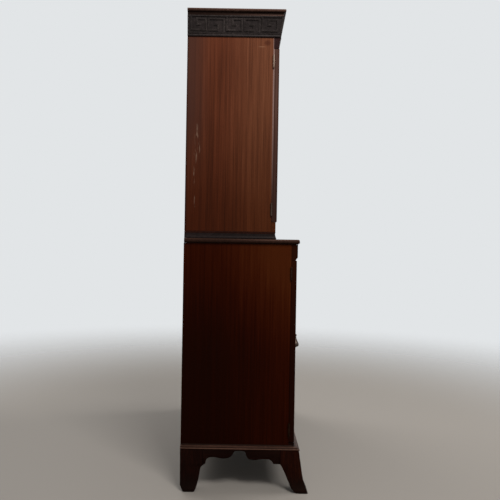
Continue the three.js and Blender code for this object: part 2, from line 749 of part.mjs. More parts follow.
function buildCornice(group) {
  const friezeHead = capFoot - glueGap;
  const bead = profileOf(beadShares, beadProjection, corniceFoot + glueGap, beadHeight - glueGap);
  const friezeProfile = [
    [-friezeWidth, corniceFoot + glueGap],
    ...bead,
    [friezeFootProud, fretFoot],
    [friezeFootProud + friezeFlare, friezeHead],
    [friezeFlare - friezeWidth, friezeHead],
  ];
  const frieze = mouldingRun(friezeProfile, threeSides(upperSideX, upperDepth));
  const friezeLevels = [corniceFoot + glueGap, friezeHead];
  const friezeBack = backStrip(upperSideX - friezeWidth, friezeWidth / 2, friezeLevels, friezeFlare);
  place(group, 'cornice_frieze', join(frieze, friezeBack), ebonised);

  const faceOut = friezeFootProud + glueGap / Math.cos(fretTilt);
  const sideRun = upperDepth + faceOut;
  const frontRun = 2 * (upperSideX + faceOut);
  const runs = {
    cornice_fret_left: {
      length: sideRun,
      leans: [false, true],
      start: [-upperSideX - faceOut, fromBack(0)],
      along: [0, -1],
      out: [-1, 0],
      keep: [[-1, -1, 1]],
    },
    cornice_fret_front: {
      length: frontRun,
      leans: [true, true],
      start: [-upperSideX - faceOut, fromBack(sideRun)],
      along: [1, 0],
      out: [0, -1],
      keep: [[-1, 1, -1], [1, -1, -1]],
    },
    cornice_fret_right: {
      length: sideRun,
      leans: [true, false],
      start: [upperSideX + faceOut, fromBack(sideRun)],
      along: [0, 1],
      out: [1, 0],
      keep: [[1, 1, 1]],
    },
  };
  for (const [name, run] of Object.entries(runs)) {
    const out = new THREE.Vector3(...run.out, 0);
    const up = out.clone().multiplyScalar(Math.sin(fretTilt)).addScaledVector(axisZ, Math.cos(fretTilt));
    const along = new THREE.Vector3(...run.along, 0);
    const basis = new THREE.Matrix4().makeBasis(along, up, along.clone().cross(up));
    basis.setPosition(...run.start, fretFoot + glueGap);
    const strip = fretStrip(run.length, run.leans).applyMatrix4(basis);
    const fret = run.keep.reduce((piece, side) => keepInside(piece, mitreEnvelope(...side)), strip);
    place(group, name, fret, ebonised);
  }

  const capProfile = profileOf(capShares, capProjection, capFoot, capHeight);
  place(group, 'cornice_cap', mouldedBoard(capProfile, upperSideX, upperDepth, 0), darkMahogany);
}

// Hinges

const hingeAxis = (hand, sideX, sideDepth) => [
  hand * (sideX + runningGap + knuckleRadius), fromBack(sideDepth + hingeGap / 2),
];

// One leaf with its own knuckles. The fixed leaf has the outer knuckles and the pin.
function hingeLeaf(hand, sideX, sideDepth, level, fixed) {
  const [pinX, pinY] = hingeAxis(hand, sideX, sideDepth);
  const turn = fixed ? 1 : -1;
  const plateY = [pinY + turn * hingeGap / 2, pinY + turn * (hingeGap / 2 + leafThickness)];
  const low = level - hingeLength / 2;
  const high = level + hingeLength / 2;
  const pitch = hingeLength / knuckleCount;
  const pieces = [board([hand * (sideX - leafWidth), hand * sideX], plateY, [low, high])];
  for (let i = fixed ? 0 : 1; i < knuckleCount; i += 2) {
    const span = [
      low + i * pitch + (i > 0 ? runningGap / 2 : 0),
      low + (i + 1) * pitch - (i + 1 < knuckleCount ? runningGap / 2 : 0),
    ];
    pieces.push(rod(knuckleRadius, 'z', span, [pinX, pinY], knuckleSides));
    pieces.push(board([hand * (sideX - leafThickness), pinX], plateY, span));
  }
  if (fixed) return join(...pieces, rod(pinRadius, 'z', [low, high], [pinX, pinY], knuckleSides));
  const bore = rod(pinRadius + runningGap, 'z', [low - overrun, high + overrun], [pinX, pinY], knuckleSides);
  return cut(join(...pieces), bore);
}

function hangHinges(caseGroup, doorGroup, prefix, hand, sideX, sideDepth, levels) {
  ['bottom', 'top'].forEach((end, i) => {
    const fixed = hingeLeaf(hand, sideX, sideDepth, levels[i], true);
    const moving = hingeLeaf(hand, sideX, sideDepth, levels[i], false);
    place(caseGroup, `${prefix}_hinge_${end}_fixed`, fixed, brass);
    place(doorGroup, `${prefix}_hinge_${end}_moving`, moving, brass);
  });
}

// Doors

// A door's limits in width and height, the depths of both its faces, and its opening
function doorSize(hand, { sideX, frontDepth, thickness, foot, height, stile, rail }) {
  const low = foot + doorGap;
  const high = foot + height - doorGap;
  const near = doorGap / 2;
  return {
    hand,
    x: [hand * near, hand * sideX],
    z: [low, high],
    backDepth: frontDepth - thickness,
    frontDepth,
    opening: {
      x: [hand * (near + stile), hand * (sideX - stile)],
      z: [low + rail, high - rail],
    },
  };
}

// An opening's rectangle at a depth, grown outwards by a margin
function openingRing({ hand, opening }, depth, grow) {
  const [nearX, farX] = [opening.x[0] - hand * grow, opening.x[1] + hand * grow];
  const [low, high] = [opening.z[0] - grow, opening.z[1] + grow];
  const y = fromBack(depth);
  return [
    new THREE.Vector3(nearX, y, low), new THREE.Vector3(farX, y, low),
    new THREE.Vector3(farX, y, high), new THREE.Vector3(nearX, y, high),
  ];
}

// A joined frame, moulded round the opening on its face, with recesses for its hinge leaves
function doorFrame(size, sideX, levels, backCut) {
  const { hand, backDepth, frontDepth } = size;
  const solid = board(size.x, [fromBack(frontDepth), fromBack(backDepth)], size.z);
  const sticking = stickingShares.map(([within, down]) => openingRing(
    size, frontDepth - down * stickingDepth, (1 - within) * stickingWidth,
  ));
  const opening = loft([
    openingRing(size, frontDepth + overrun, stickingWidth),
    ...sticking,
    openingRing(size, backDepth - overrun, 0),
  ], quadFaces);
  const recesses = levels.map(level => leafRecess(hand, sideX, fromBack(backDepth), -1, level));
  return cut(solid, opening, backCut, ...recesses);
}

// The groove for a panel, or the rebate for glass, as a block round the opening
function openingBlock(size, [backDepth, frontDepth], grow) {
  return loft([openingRing(size, frontDepth, grow), openingRing(size, backDepth, grow)], quadFaces);
}

function fieldedPanel(size, tongueBack) {
  const edge = panelTongueDepth - glueGap;
  const tongueFront = tongueBack + panelTongue;
  const fieldFront = tongueBack + panelThickness;
  return loft([
    openingRing(size, tongueBack, edge),
    openingRing(size, tongueFront, edge),
    openingRing(size, tongueFront, 0),
    openingRing(size, fieldFront - panelStep, panelStep - fieldMargin),
    openingRing(size, fieldFront, -fieldMargin),
  ], quadFaces);
}

// A glazing bar's section runs from point to point of the pattern, with a round boss at each joint
const barHalfSection = barShares.map(([out, up]) => [out * barWidth / 2, up * barHeight]);

function glazingBar(start, end) {
  const along = end.clone().sub(start);
  const forwards = axisY.clone().negate();
  const direction = along.clone().normalize();
  const outline = [...barHalfSection, ...[...barHalfSection].reverse().map(([out, up]) => [-out, up])];
  const basis = new THREE.Matrix4().makeBasis(forwards.clone().cross(direction), forwards, direction);
  return extrude(outline, 'z', [0, along.length()]).applyMatrix4(basis.setPosition(start));
}

function glazingBoss(centre) {
  const profile = [[0, 0], ...barHalfSection, [0, barHeight]].map(([out, up]) => new THREE.Vector2(out, up));
  return new THREE.LatheGeometry(profile, bossSides).rotateX(Math.PI).translate(...centre.toArray());
}

function glazingBars(size, seatDepth) {
  const [lowX, highX] = [Math.min(...size.opening.x), Math.max(...size.opening.x)];
  const [low, high] = size.opening.z;
  const at = ([across, up]) => new THREE.Vector3(
    lerp(lowX, highX, across), fromBack(seatDepth), lerp(low, high, up),
  );
  const corners = octagonShares.map(at);
  const pieces = corners.flatMap((corner, i) => [
    glazingBar(corner, corners[(i + 1) % corners.length]),
    glazingBar(corner, at(rayShares[i])),
    glazingBoss(corner),
  ]);
  const within = openingBlock(size, [size.backDepth, size.frontDepth], -glueGap);
  return keepInside(join(...pieces), within);
}

// Pulls

// A rose turned in one with its stem, which is forked at the end for the drop's tongue
function pullRose(x, faceY) {
  const turned = roseShares.map(([out, along]) => [out * roseRadius, along * stemLength]);
  const profile = [[0, 0], ...turned, [0, stemLength]]
    .map(([out, along]) => new THREE.Vector2(out, along));
  const disc = new THREE.LatheGeometry(profile, latheSides).rotateX(Math.PI)
    .translate(x, faceY - glueGap, pullHeight);
  const pivotY = faceY - pivotProjection;
  const inner = tongueThickness / 2 + runningGap;
  const outer = inner + cheekThickness;
  const cheeks = hands.map(([, turn]) => board(
    [x + turn * inner, x + turn * outer],
    [pivotY - cheekReach, faceY - stemLength + cheekThickness],
    [pullHeight - cheekReach, pullHeight + cheekReach],
  ));
  const pin = rod(pullPinRadius, 'x', [x - outer, x + outer], [pivotY, pullHeight], knuckleSides);
  return join(disc, ...cheeks, pin);
}

function pullDrop(x, faceY) {
  const pivotY = faceY - pivotProjection;
  const half = tongueThickness / 2;
  const eye = rod(tongueRadius, 'x', [x - half, x + half], [pivotY, pullHeight], knuckleSides);
  const neckFoot = pullHeight - neckShare * dropLength;
  const neck = board([x - half, x + half], [pivotY - half, pivotY + half], [neckFoot, pullHeight]);
  const [[, headShare]] = dropShares;
  const profile = [[0, headShare], ...dropShares, [0, 1]]
    .map(([out, down]) => new THREE.Vector2(out * dropRadius, -down * dropLength))
    .reverse();
  const pear = new THREE.LatheGeometry(profile, latheSides).rotateX(Math.PI / 2)
    .translate(x, pivotY, pullHeight);
  const span = [x - half - overrun, x + half + overrun];
  const hole = rod(pullPinRadius + runningGap, 'x', span, [pivotY, pullHeight], knuckleSides);
  return join(cut(join(eye, neck), hole), pear);
}

function buildLowerDoors(caseGroup) {
  for (const [name, hand] of hands) {
    const size = doorSize(hand, {
      sideX: lowerSideX,
      frontDepth: lowerDepth,
      thickness: lowerDoorThickness,
      foot: lowerDoorFoot,
      height: lowerDoorHeight,
      stile: lowerStileWidth,
      rail: lowerRailWidth,
    });
    const prefix = `base_door_${name}`;
    const axis = hingeAxis(hand, lowerSideX, lowerSideDepth);
    const door = groupAt(caseGroup, ...axis, lowerDoorFoot);
    const tongueBack = size.backDepth + panelRecess;
    const groove = openingBlock(
      size, [tongueBack - glueGap, tongueBack + panelTongue + glueGap], panelTongueDepth,
    );
    place(door, `${prefix}_frame`, doorFrame(size, lowerSideX, lowerHingeLevels, groove), mahogany);
    place(door, `${prefix}_panel`, fieldedPanel(size, tongueBack), mahogany);
    hangHinges(caseGroup, door, prefix, hand, lowerSideX, lowerSideDepth, lowerHingeLevels);

    const pullX = hand * (doorGap / 2 + pullInset);
    const faceY = fromBack(lowerDepth);
    place(door, `${prefix}_pull_rose`, pullRose(pullX, faceY), brass);
    const pull = groupAt(door, pullX, faceY - pivotProjection, pullHeight);
    place(pull, `${prefix}_pull_drop`, pullDrop(pullX, faceY), brass);
  }
}

function buildUpperDoors(caseGroup) {
  for (const [name, hand] of hands) {
    const size = doorSize(hand, {
      sideX: upperSideX,
      frontDepth: upperDepth,
      thickness: upperDoorThickness,
      foot: upperDoorFoot,
      height: upperDoorHeight,
      stile: upperStileWidth,
      rail: upperRailWidth,
    });
    const prefix = `glazed_door_${name}`;
    const axis = hingeAxis(hand, upperSideX, upperSideDepth);
    const door = groupAt(caseGroup, ...axis, upperDoorFoot);
    const seat = upperDepth - glassRebateDepth;
    const rebate = openingBlock(size, [size.backDepth - overrun, seat], glassRebateWidth);
    place(door, `${prefix}_frame`, doorFrame(size, upperSideX, upperHingeLevels, rebate), mahogany);
    const glassFront = seat - glueGap;
    const sheet = openingBlock(size, [glassFront - glassThickness, glassFront], glassRebateWidth - glueGap);
    place(door, `${prefix}_glass`, sheet, glassPane);
    place(door, `${prefix}_bars`, glazingBars(size, seat), mahogany);
    hangHinges(caseGroup, door, prefix, hand, upperSideX, upperSideDepth, upperHingeLevels);
  }
}

const lowerCase = groupAt(bookcase, 0, 0, 0);
buildLowerCase(lowerCase);
buildFeet(lowerCase);
buildLowerDoors(lowerCase);

const upperCase = groupAt(bookcase, 0, 0, waistFoot);
buildUpperCase(upperCase);
buildUpperDoors(upperCase);
buildCornice(upperCase);

export default bookcase;
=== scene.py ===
# %% [markdown]
# # A mahogany bookcase with glazed doors, dressed for a picture
#
# The joinery of this bookcase was settled in CAD and comes in as a fixed frame: every board, door,
# hinge and pull is already in its place. What is left for Blender is the surface of things. The real
# piece is old polished mahogany, nearly black on the cupboard and a warm red brown above it, with a
# dark key fret, worn arrises and small brass fittings.

# %% Load the frame
import math

import bmesh
import bpy
import numpy as np
from mathutils import Matrix, Vector


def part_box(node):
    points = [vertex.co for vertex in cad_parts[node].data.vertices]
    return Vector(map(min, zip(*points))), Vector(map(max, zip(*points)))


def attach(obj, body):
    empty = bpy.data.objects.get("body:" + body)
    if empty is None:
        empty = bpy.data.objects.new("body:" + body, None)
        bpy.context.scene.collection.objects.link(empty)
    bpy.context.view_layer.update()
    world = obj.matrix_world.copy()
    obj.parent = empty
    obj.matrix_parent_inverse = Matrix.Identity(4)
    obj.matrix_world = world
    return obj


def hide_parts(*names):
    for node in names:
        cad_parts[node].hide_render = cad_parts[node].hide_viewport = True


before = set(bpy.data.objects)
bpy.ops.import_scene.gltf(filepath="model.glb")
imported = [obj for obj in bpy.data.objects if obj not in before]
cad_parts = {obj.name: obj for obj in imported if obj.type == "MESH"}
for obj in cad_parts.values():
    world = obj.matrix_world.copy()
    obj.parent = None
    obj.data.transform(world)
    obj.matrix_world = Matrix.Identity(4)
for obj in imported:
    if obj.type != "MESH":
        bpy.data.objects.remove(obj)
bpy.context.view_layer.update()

# %% [markdown]
# ## Lengths that the cells share
#
# Blender works in metres, and furniture is easier to think of in millimetres, so one factor turns
# them. The faces of the two cases are read from the frame, so nothing here repeats a size that the
# joiner has already fixed. Depths are measured forwards from the back plane, as the joiner does.

# %% Faces of the two cases
MM = 0.001
LEFT, RIGHT = -1, 1
HANDS = {"left": LEFT, "right": RIGHT}

base_low, base_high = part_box("base_side_left")
upper_low, upper_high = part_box("upper_side_left")
BACK = base_high.y
BASE_SIDE = -base_low.x
UPPER_SIDE = -upper_low.x
BASE_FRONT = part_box("base_door_left_frame")[0].y
UPPER_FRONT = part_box("glazed_door_left_frame")[0].y
UPPER_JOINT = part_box("glazed_door_left_frame")[1].y
WAIST = upper_low.z
print(f"base {2 * BASE_SIDE:.3f} m wide, upper case {2 * UPPER_SIDE:.3f} m wide")

# %% [markdown]
# ## The camera
#
# The photograph looks straight at the left side from a little over two metres, at about half the
# height of the piece. A level camera keeps the uprights upright, and a small shift of the lens puts
# the piece where the photograph has it. The camera was held about a degree off level, which one turn
# about its own axis repeats.

# %% Camera
CAMERA_REACH = 2.11
CAMERA_HEIGHT = 0.869
CAMERA_FORWARD = 0.202
FOCAL_MM = 42.9
SENSOR_MM = 36.0
CAMERA_TILT = math.radians(0.95)
LENS_SHIFT = 0.0184, -0.0162

camera_data = bpy.data.cameras.new("camera")
camera_data.sensor_width = SENSOR_MM
camera_data.lens = FOCAL_MM
camera_data.shift_x, camera_data.shift_y = LENS_SHIFT
camera = bpy.data.objects.new("camera", camera_data)
looking_across = Matrix.Rotation(-math.pi / 2, 4, "Z") @ Matrix.Rotation(math.pi / 2, 4, "X")
stand = Vector((-BASE_SIDE - CAMERA_REACH, BACK - CAMERA_FORWARD, CAMERA_HEIGHT))
camera.matrix_world = Matrix.Translation(stand) @ looking_across @ Matrix.Rotation(CAMERA_TILT, 4, "Z")
bpy.context.scene.collection.objects.link(camera)
bpy.context.scene.camera = camera
print("camera stands at", [round(v, 3) for v in stand])

# %% [markdown]
# ## Shader sums written as Python
#
# A procedural finish is a small calculation for each point of a surface. Wiring its Math nodes one by
# one hides the calculation, so a thin class wraps a socket and lets Python's own operators add the
# nodes: `1 - mask` is then a formula that can be read. One method adds every other node, in finishes,
# in the world and in the modifiers' node group, because all of them are trees of nodes.

# %% A socket that can be added, multiplied and compared
def operator(operation):
    return lambda value, *others: value.sum(operation, *others)


class Value:
    """A socket in a formula. Each operator adds the Math node of the same name."""

    __add__ = __radd__ = operator("ADD")
    __mul__ = __rmul__ = operator("MULTIPLY")
    __sub__ = operator("SUBTRACT")
    __gt__ = operator("GREATER_THAN")
    __lt__ = operator("LESS_THAN")
    __abs__ = operator("ABSOLUTE")

    def __init__(self, graph, socket):
        self.graph = graph
        self.socket = socket

    def sum(self, operation, *others):
        inputs = dict(enumerate((self, *others)))
        return self.graph.node("ShaderNodeMath", {"operation": operation}, inputs)

    def __rsub__(self, other):
        return self.graph.node("ShaderNodeMath", {"operation": "SUBTRACT"}, {0: other, 1: self})


# %% A tree of nodes, and a finish made of one
class Graph:
    """A tree of nodes and the one method that adds a node to it."""

    def __init__(self, tree):
        self.tree = tree
        self.tree.nodes.clear()

    def node(self, kind, settings=None, inputs=None, output=0):
        """Adds one node. Settings come first, because some of them change the node's sockets."""
        added = self.tree.nodes.new(kind)
        for name, value in (settings or {}).items():
            setattr(added, name, value)
        for name, value in (inputs or {}).items():
            if isinstance(value, Value):
                self.tree.links.new(value.socket, added.inputs[name])
            else:
                added.inputs[name].default_value = value
        return Value(self, added.outputs[output]) if added.outputs else added


class Finish(Graph):
    """A material, with the patterns and mixes that several finishes use."""

    def __init__(self, name):
        self.material = bpy.data.materials.new(name)
        self.material.use_nodes = True
        super().__init__(self.material.node_tree)

    def place(self):
        """Where a point of the surface is, in metres."""
        return self.node("ShaderNodeTexCoord", output="Object")

    def parts(self, vector):
        """A vector's x, y and z as three values."""
        split = self.node("ShaderNodeSeparateXYZ", inputs={0: vector})
        return [Value(self, socket) for socket in split.socket.node.outputs]

    def noise(self, vector, per_metre, detail=3.0, roughness=0.5, distortion=0.0):
        """Cloudy noise with so many patches to the metre along x, y and z."""
        spread = self.node("ShaderNodeMapping", inputs={"Vector": vector, "Scale": per_metre})
        return self.node("ShaderNodeTexNoise", inputs={
            "Vector": spread, "Scale": 1.0, "Detail": detail, "Roughness": roughness,
            "Distortion": distortion,
        })

    def rise(self, value, low, high, bottom=0.0, top=1.0):
        """A smooth step from bottom to top while a value goes from low to high."""
        settings = {"interpolation_type": "SMOOTHSTEP"}
        inputs = {"Value": value, 1: low, 2: high, 3: bottom, 4: top}
        return self.node("ShaderNodeMapRange", settings, inputs)

    def near(self, value, middle, reach):
        """1 where a value is at the middle, and down to 0 at the reach on either side."""
        return self.rise(abs(value - middle), 0.0, reach, bottom=1.0, top=0.0)

    def mix(self, share, first, second, blend="MIX"):
        """Two colours mixed by a share, in one of the ways that paint programs blend."""
        settings = {"data_type": "RGBA", "blend_type": blend, "clamp_factor": True}
        return self.node("ShaderNodeMix", settings, {0: share, 6: first, 7: second}, output=2)

    def bump(self, strength, depth, height):
        inputs = {"Strength": strength, "Distance": depth, "Height": height}
        return self.node("ShaderNodeBump", inputs=inputs)

    def shader(self, **inputs):
        """A Principled shader, with what each of its sockets gets."""
        named = {name.replace("_", " "): value for name, value in inputs.items()}
        return self.node("ShaderNodeBsdfPrincipled", inputs=named)

    def end(self, shader):
        self.node("ShaderNodeOutputMaterial", inputs={"Surface": shader})
        return self.material

    def end_either(self, share, first, second):
        """Ends the material with the first shader, or with the second where the share is 1."""
        return self.end(self.node("ShaderNodeMixShader", inputs={0: share, 1: first, 2: second}))


def srgb(red, green, blue):
    """A colour as seen on a screen, 0 to 255, turned into the linear light that shaders use."""
    shares = np.array([red, green, blue]) / 255
    linear = np.where(shares <= 0.04045, shares / 12.92, ((shares + 0.055) / 1.055) ** 2.4)
    return (*linear.tolist(), 1.0)


print("a mid grey is", round(srgb(128, 128, 128)[0], 3), "in linear light")

# %% [markdown]
# ## Floor, background and light
#
# Dark polished wood shows whatever is around it, so the room is kept plain: a pale floor that fades
# into a pale background, and soft light. The strongest lamp stands high behind the camera, so the
# upper case is the brightest part and the feet are in shade.

# %% Floor
FLOOR_REACH = 9.0
FLOOR_FADE = 1.1, 3.8
FLOOR_TONE = srgb(150, 143, 135)
floor_mesh = bpy.data.meshes.new("floor")
floor_corners = [(x, y, 0) for x, y in [(-1, -1), (1, -1), (1, 1), (-1, 1)]]
floor_mesh.from_pydata([Vector(c) * FLOOR_REACH for c in floor_corners], [], [(0, 1, 2, 3)])
floor = bpy.data.objects.new("floor", floor_mesh)
bpy.context.scene.collection.objects.link(floor)


def fading_floor():
    """A pale floor that turns clear with its distance from the piece, so no edge of it shows."""
    made = Finish("pale_floor")
    away = made.node("ShaderNodeVectorMath", {"operation": "LENGTH"}, {0: made.place()}, output="Value")
    ground = made.shader(Base_Color=FLOOR_TONE, Roughness=0.55, Specular_IOR_Level=0.2)
    clear = made.node("ShaderNodeBsdfTransparent")
    return made.end_either(made.rise(away, *FLOOR_FADE), ground, clear)


floor_mesh.materials.append(fading_floor())

# %% World
WORLD_LIGHT = 0.25
WORLD_SEEN = srgb(226, 229, 231)
world = bpy.data.worlds.new("soft_room")
bpy.context.scene.world = world
world.use_nodes = True
bpy.context.scene.view_settings.view_transform = "Standard"


def light_the_world(room):
    """Light for the surfaces, and a pale grey for what a ray sees of the world itself."""
    white = {"Color": (1.0, 1.0, 1.0, 1.0), "Strength": WORLD_LIGHT}
    lit = room.node("ShaderNodeBackground", inputs=white)
    seen = room.node("ShaderNodeBackground", inputs={"Color": WORLD_SEEN})
    kinds = ["Is Camera Ray", "Is Transmission Ray", "Is Glossy Ray"]
    straight, through, shiny = [room.node("ShaderNodeLightPath", output=kind) for kind in kinds]
    sight = straight.sum("MAXIMUM", through).sum("MAXIMUM", shiny)
    chosen = room.node("ShaderNodeMixShader", inputs={0: sight, 1: lit, 2: seen})
    room.node("ShaderNodeOutputWorld", inputs={"Surface": chosen})


light_the_world(Graph(world.node_tree))


# %% Lamps
def soft_lamp(name, place, aim, size, power):
    """A square lamp at one point that looks at another. A bigger size gives a softer shadow."""
    data = bpy.data.lights.new(name, "AREA")
    data.size = size
    data.energy = power
    lamp = bpy.data.objects.new(name, data)
    turn = (Vector(aim) - Vector(place)).to_track_quat("-Z", "Y")
    lamp.matrix_world = Matrix.Translation(place) @ turn.to_matrix().to_4x4()
    bpy.context.scene.collection.objects.link(lamp)


LAMPS = {
    "window_side": ((-2.4, -0.9, 3.3), (-0.4, 0, 1.2), 1.2, 80),
    "window_front": ((0.6, -2.4, 3.3), (0, 0, 1.1), 1.4, 58),
    "window_back": ((2.0, 1.9, 3.3), (0, 0, 1.0), 2.0, 56),
}
for name, settings in LAMPS.items():
    soft_lamp(name, *settings)
print("lamps:", list(LAMPS))

# %% [markdown]
# ## Mahogany
#
# A plank of mahogany has three scales of pattern, all drawn out along the grain: soft bands a finger
# wide, streaks a few millimetres wide, and pores as short dark dashes. Each is cloudy noise with
# many patches across the grain and few along it, so one board needs no picture. The grain runs the
# way the joiner cut each board. Old polish reflects little when it is seen square on, and what it
# reflects is warm, which a low specular level with a red tint gives.

# %% Wood, from a run of tones and the way its grain runs
WARM_SHINE, GREY_SHINE = (1.0, 0.55, 0.42, 1.0), (1.0, 0.9, 0.86, 1.0)
# Patches to the metre, twice across the grain and once along it
BANDS, STREAKS, PORES, CLOUDS = (96, 96, 1.5), (330, 330, 5), (1500, 1500, 42), (6, 6, 2.2)
GRAIN_DEPTH = 0.4 * MM
EDGE_REACH, EDGE_SKIN = 2 * MM, 0.4 * MM


class Wood(Finish):
    """A wooden finish. Its patterns are ready when it is made, and done() gives the material."""

    def __init__(self, name, axis="z", laid_across=None):
        super().__init__(name)
        self.x, self.y, self.z = self.parts(self.place())
        turned = {
            "z": (self.x, self.y, self.z), "x": (self.y, self.z, self.x), "y": (self.z, self.x, self.y),
        }
        grain = self.vector(*turned[axis])
        if laid_across is not None:
            grain = self.mix_vectors(laid_across(self), grain, self.vector(*turned["x"]))
        self.band = self.noise(grain, BANDS, detail=3, roughness=0.6, distortion=0.2)
        self.streak = self.noise(grain, STREAKS, detail=3, roughness=0.65)
        self.pores = self.rise(self.noise(grain, PORES, detail=1), 0.6, 0.72)
        self.cloud = self.noise(grain, CLOUDS, detail=2)

    def vector(self, x, y, z):
        return self.node("ShaderNodeCombineXYZ", inputs={0: x, 1: y, 2: z})

    def mix_vectors(self, share, first, second):
        return self.node("ShaderNodeMix", {"data_type": "VECTOR"}, {0: share, 4: first, 5: second}, output=1)

    def figure(self):
        """How light the figure of the wood is at a point: 0.5 on average, with all three scales in it."""
        return self.band * 0.34 + self.streak * 0.42 + self.cloud * 0.24

    def ramp(self, value, *stops):
        """A colour for each value, from (value, colour) stops, darkened in the pores."""
        board = self.node("ShaderNodeValToRGB", inputs={0: value})
        elements = board.socket.node.color_ramp.elements
        while len(elements) < len(stops):
            elements.new(1.0)
        for element, (place, tone) in zip(elements, stops):
            element.position = place
            element.color = srgb(*tone)
        return self.mix(self.pores * 0.3, board, srgb(*[0.5 * part for part in stops[0][1]]))

    def toned(self, deep, middle, pale):
        """The three tones of a board, spread over its figure."""
        return self.ramp(self.figure(), (0.38, deep), (0.5, middle), (0.62, pale))

    def smudge(self, depth, height, half_depth, half_height):
        """1 in the middle of a soft oval on a side board, whose place and size are in millimetres."""
        across = (self.y - (BACK - depth * MM)) * (1 / (half_depth * MM))
        up = (self.z - height * MM) * (1 / (half_height * MM))
        return self.rise(across * across + up * up, 0.0, 1.0, bottom=1.0, top=0.0)

    def outer_edge(self, side, top=1.0):
        """The outermost skin of a case whose side stands so far from the middle."""
        return self.rise(abs(self.x), side - EDGE_REACH, side - EDGE_SKIN, top=top)

    def done(self, colour, rough=0.4, shine=0.08, relief=0.2, tint=WARM_SHINE):
        """Ends the finish: the bands vary its gloss, and streaks and pores roughen it a little."""
        bump = self.bump(relief, GRAIN_DEPTH, self.streak * 0.5 - self.pores * 0.6)
        gloss = self.band * 0.12 + self.pores * 0.18 + (rough - 0.06)
        return self.end(self.shader(
            Base_Color=colour, Roughness=gloss, Normal=bump, Specular_IOR_Level=shine, Specular_Tint=tint,
        ))


# %% [markdown]
# ## Which board gets which finish
#
# The photograph shows the cupboard nearly black at its back edge and brown towards the doors, and
# the upper case a clear red brown that greys towards the back. These are soft changes over the height
# and depth of the piece, partly the wood's own tone and partly painted light: paler towards the front
# and the top, with painted shade towards the foot and along the back edge.

# %% Tones from the deepest to the palest, as they are seen on a screen
UPPER_TONES = (69, 33, 19), (89, 44, 26), (103, 54, 34)
UPPER_WARM_TONES = (82, 45, 28), (103, 59, 38), (119, 72, 49)
HANDLED_TONES = (40, 25, 22), (60, 41, 36), (82, 61, 55)
LOWER_STOPS = [
    (0.0, (21, 4, 1)), (0.3, (28, 5, 1)), (0.55, (42, 10, 2)), (0.8, (56, 19, 5)), (1.0, (68, 29, 10)),
]
DARK_TONES = (10, 3, 2), (18, 5, 3), (31, 11, 7)
FOOT_TONES = (21, 5, 2), (35, 11, 4), (52, 20, 9)
MOULDING_TONES = (20, 9, 6), (31, 17, 12), (45, 27, 20)
MOULDING_WORN = (106, 76, 62)
CAP_TONES = (30, 17, 13), (44, 29, 23), (62, 45, 38)
FASCIA_TONES = (25, 11, 12), (36, 20, 22), (48, 30, 32)
BLACK_TONES = (24, 19, 18), (36, 30, 29), (52, 44, 42)
WAIST_TONES = (15, 11, 10), (26, 18, 17), (42, 32, 30)
FILLET_TONES = (32, 12, 7), (43, 18, 10), (56, 25, 14)
FRET_TONES = (24, 19, 18), (36, 31, 30), (52, 45, 43)
# Paler tones for the fret's rounds, a painted highlight
FRET_HIGHLIGHT_TONES = (58, 51, 48), (80, 72, 68), (106, 96, 91)
CARCASS_TONES = (70, 47, 32), (98, 70, 47), (128, 95, 66)

# %% Upper mahogany
WARM_DEPTHS = UPPER_FRONT + 40 * MM, BACK - 100 * MM
HAZE_DEPTHS, HAZE_HEIGHTS = (BACK - 100 * MM, BACK - 5 * MM), (1.0, 1.35)
# Where painted shade darkens the rearmost edge of the upper boards
REAR_SHADE_DEPTHS, REAR_SHADE_HEIGHTS = (BACK - 8 * MM, BACK - 3 * MM), (1.0, 1.6)
SHADE_HEIGHTS, DOOR_SHADE_HEIGHTS = (0.9, 1.42), (0.95, 1.32)
# Where the painted highlight lies along the joint of the upper door and the side
JOINT_HIGHLIGHT_SKIN, JOINT_HIGHLIGHT_HEIGHTS = (UPPER_SIDE - 2.4 * MM, UPPER_SIDE - 1.0 * MM), (0.95, 1.4)
JOINT_HIGHLIGHT_REACH = 3.6 * MM
# Each mark is its depth, its height and half its size along them, in millimetres
SCUFFS = [(39, 1244, 9, 52), (32, 1106, 4, 44), (35, 1012, 3, 26), (47, 1206, 6, 30), (35, 1172, 7, 30)]
SCRATCH, KNOT = (266, 1566, 17, 2.0), (286, 1580, 15, 13)
SCUFF_STROKES = 240, 240, 26


def upper_board(wood):
    """Red brown, warmer and paler to the front, greyed along the back edge, darker at the foot. The paler
    front is partly painted light; the darker foot and rear edge are painted shade.
    """
    # Paler and warmer towards the front, partly as painted light
    behind = wood.rise(wood.y, *WARM_DEPTHS)
    board = wood.mix(behind, wood.toned(*UPPER_WARM_TONES), wood.toned(*UPPER_TONES))
    haze = wood.rise(wood.y, *HAZE_DEPTHS, top=0.8) * wood.rise(wood.z, *HAZE_HEIGHTS)
    greyed = wood.mix(haze, board, srgb(66, 42, 35))
    # Painted shade: the board darkens towards its foot, as if lit from above
    fall = wood.rise(wood.z, *SHADE_HEIGHTS, bottom=0.95, top=0.0)
    lit = wood.mix(fall, greyed, srgb(180, 157, 130), blend="MULTIPLY")
    # Painted shade along the rearmost edge
    rear = wood.rise(wood.y, *REAR_SHADE_DEPTHS, top=0.75) * wood.rise(wood.z, *REAR_SHADE_HEIGHTS, 1.0, 0.5)
    return wood.mix(rear, lit, srgb(24, 10, 8))


def joint_highlight(wood, board):
    """A painted highlight along the arris where the upper door meets the side, brightest near the top."""
    outer = wood.rise(abs(wood.x), *JOINT_HIGHLIGHT_SKIN)
    line = wood.near(wood.y, UPPER_JOINT, JOINT_HIGHLIGHT_REACH) * outer * wood.rise(wood.z, *JOINT_HIGHLIGHT_HEIGHTS)
    return wood.mix(line, board, srgb(168, 138, 130))


def upper_mahogany(name, axis="z"):
    wood = Wood(name, axis)
    return wood.done(upper_board(wood), shine=0.1)


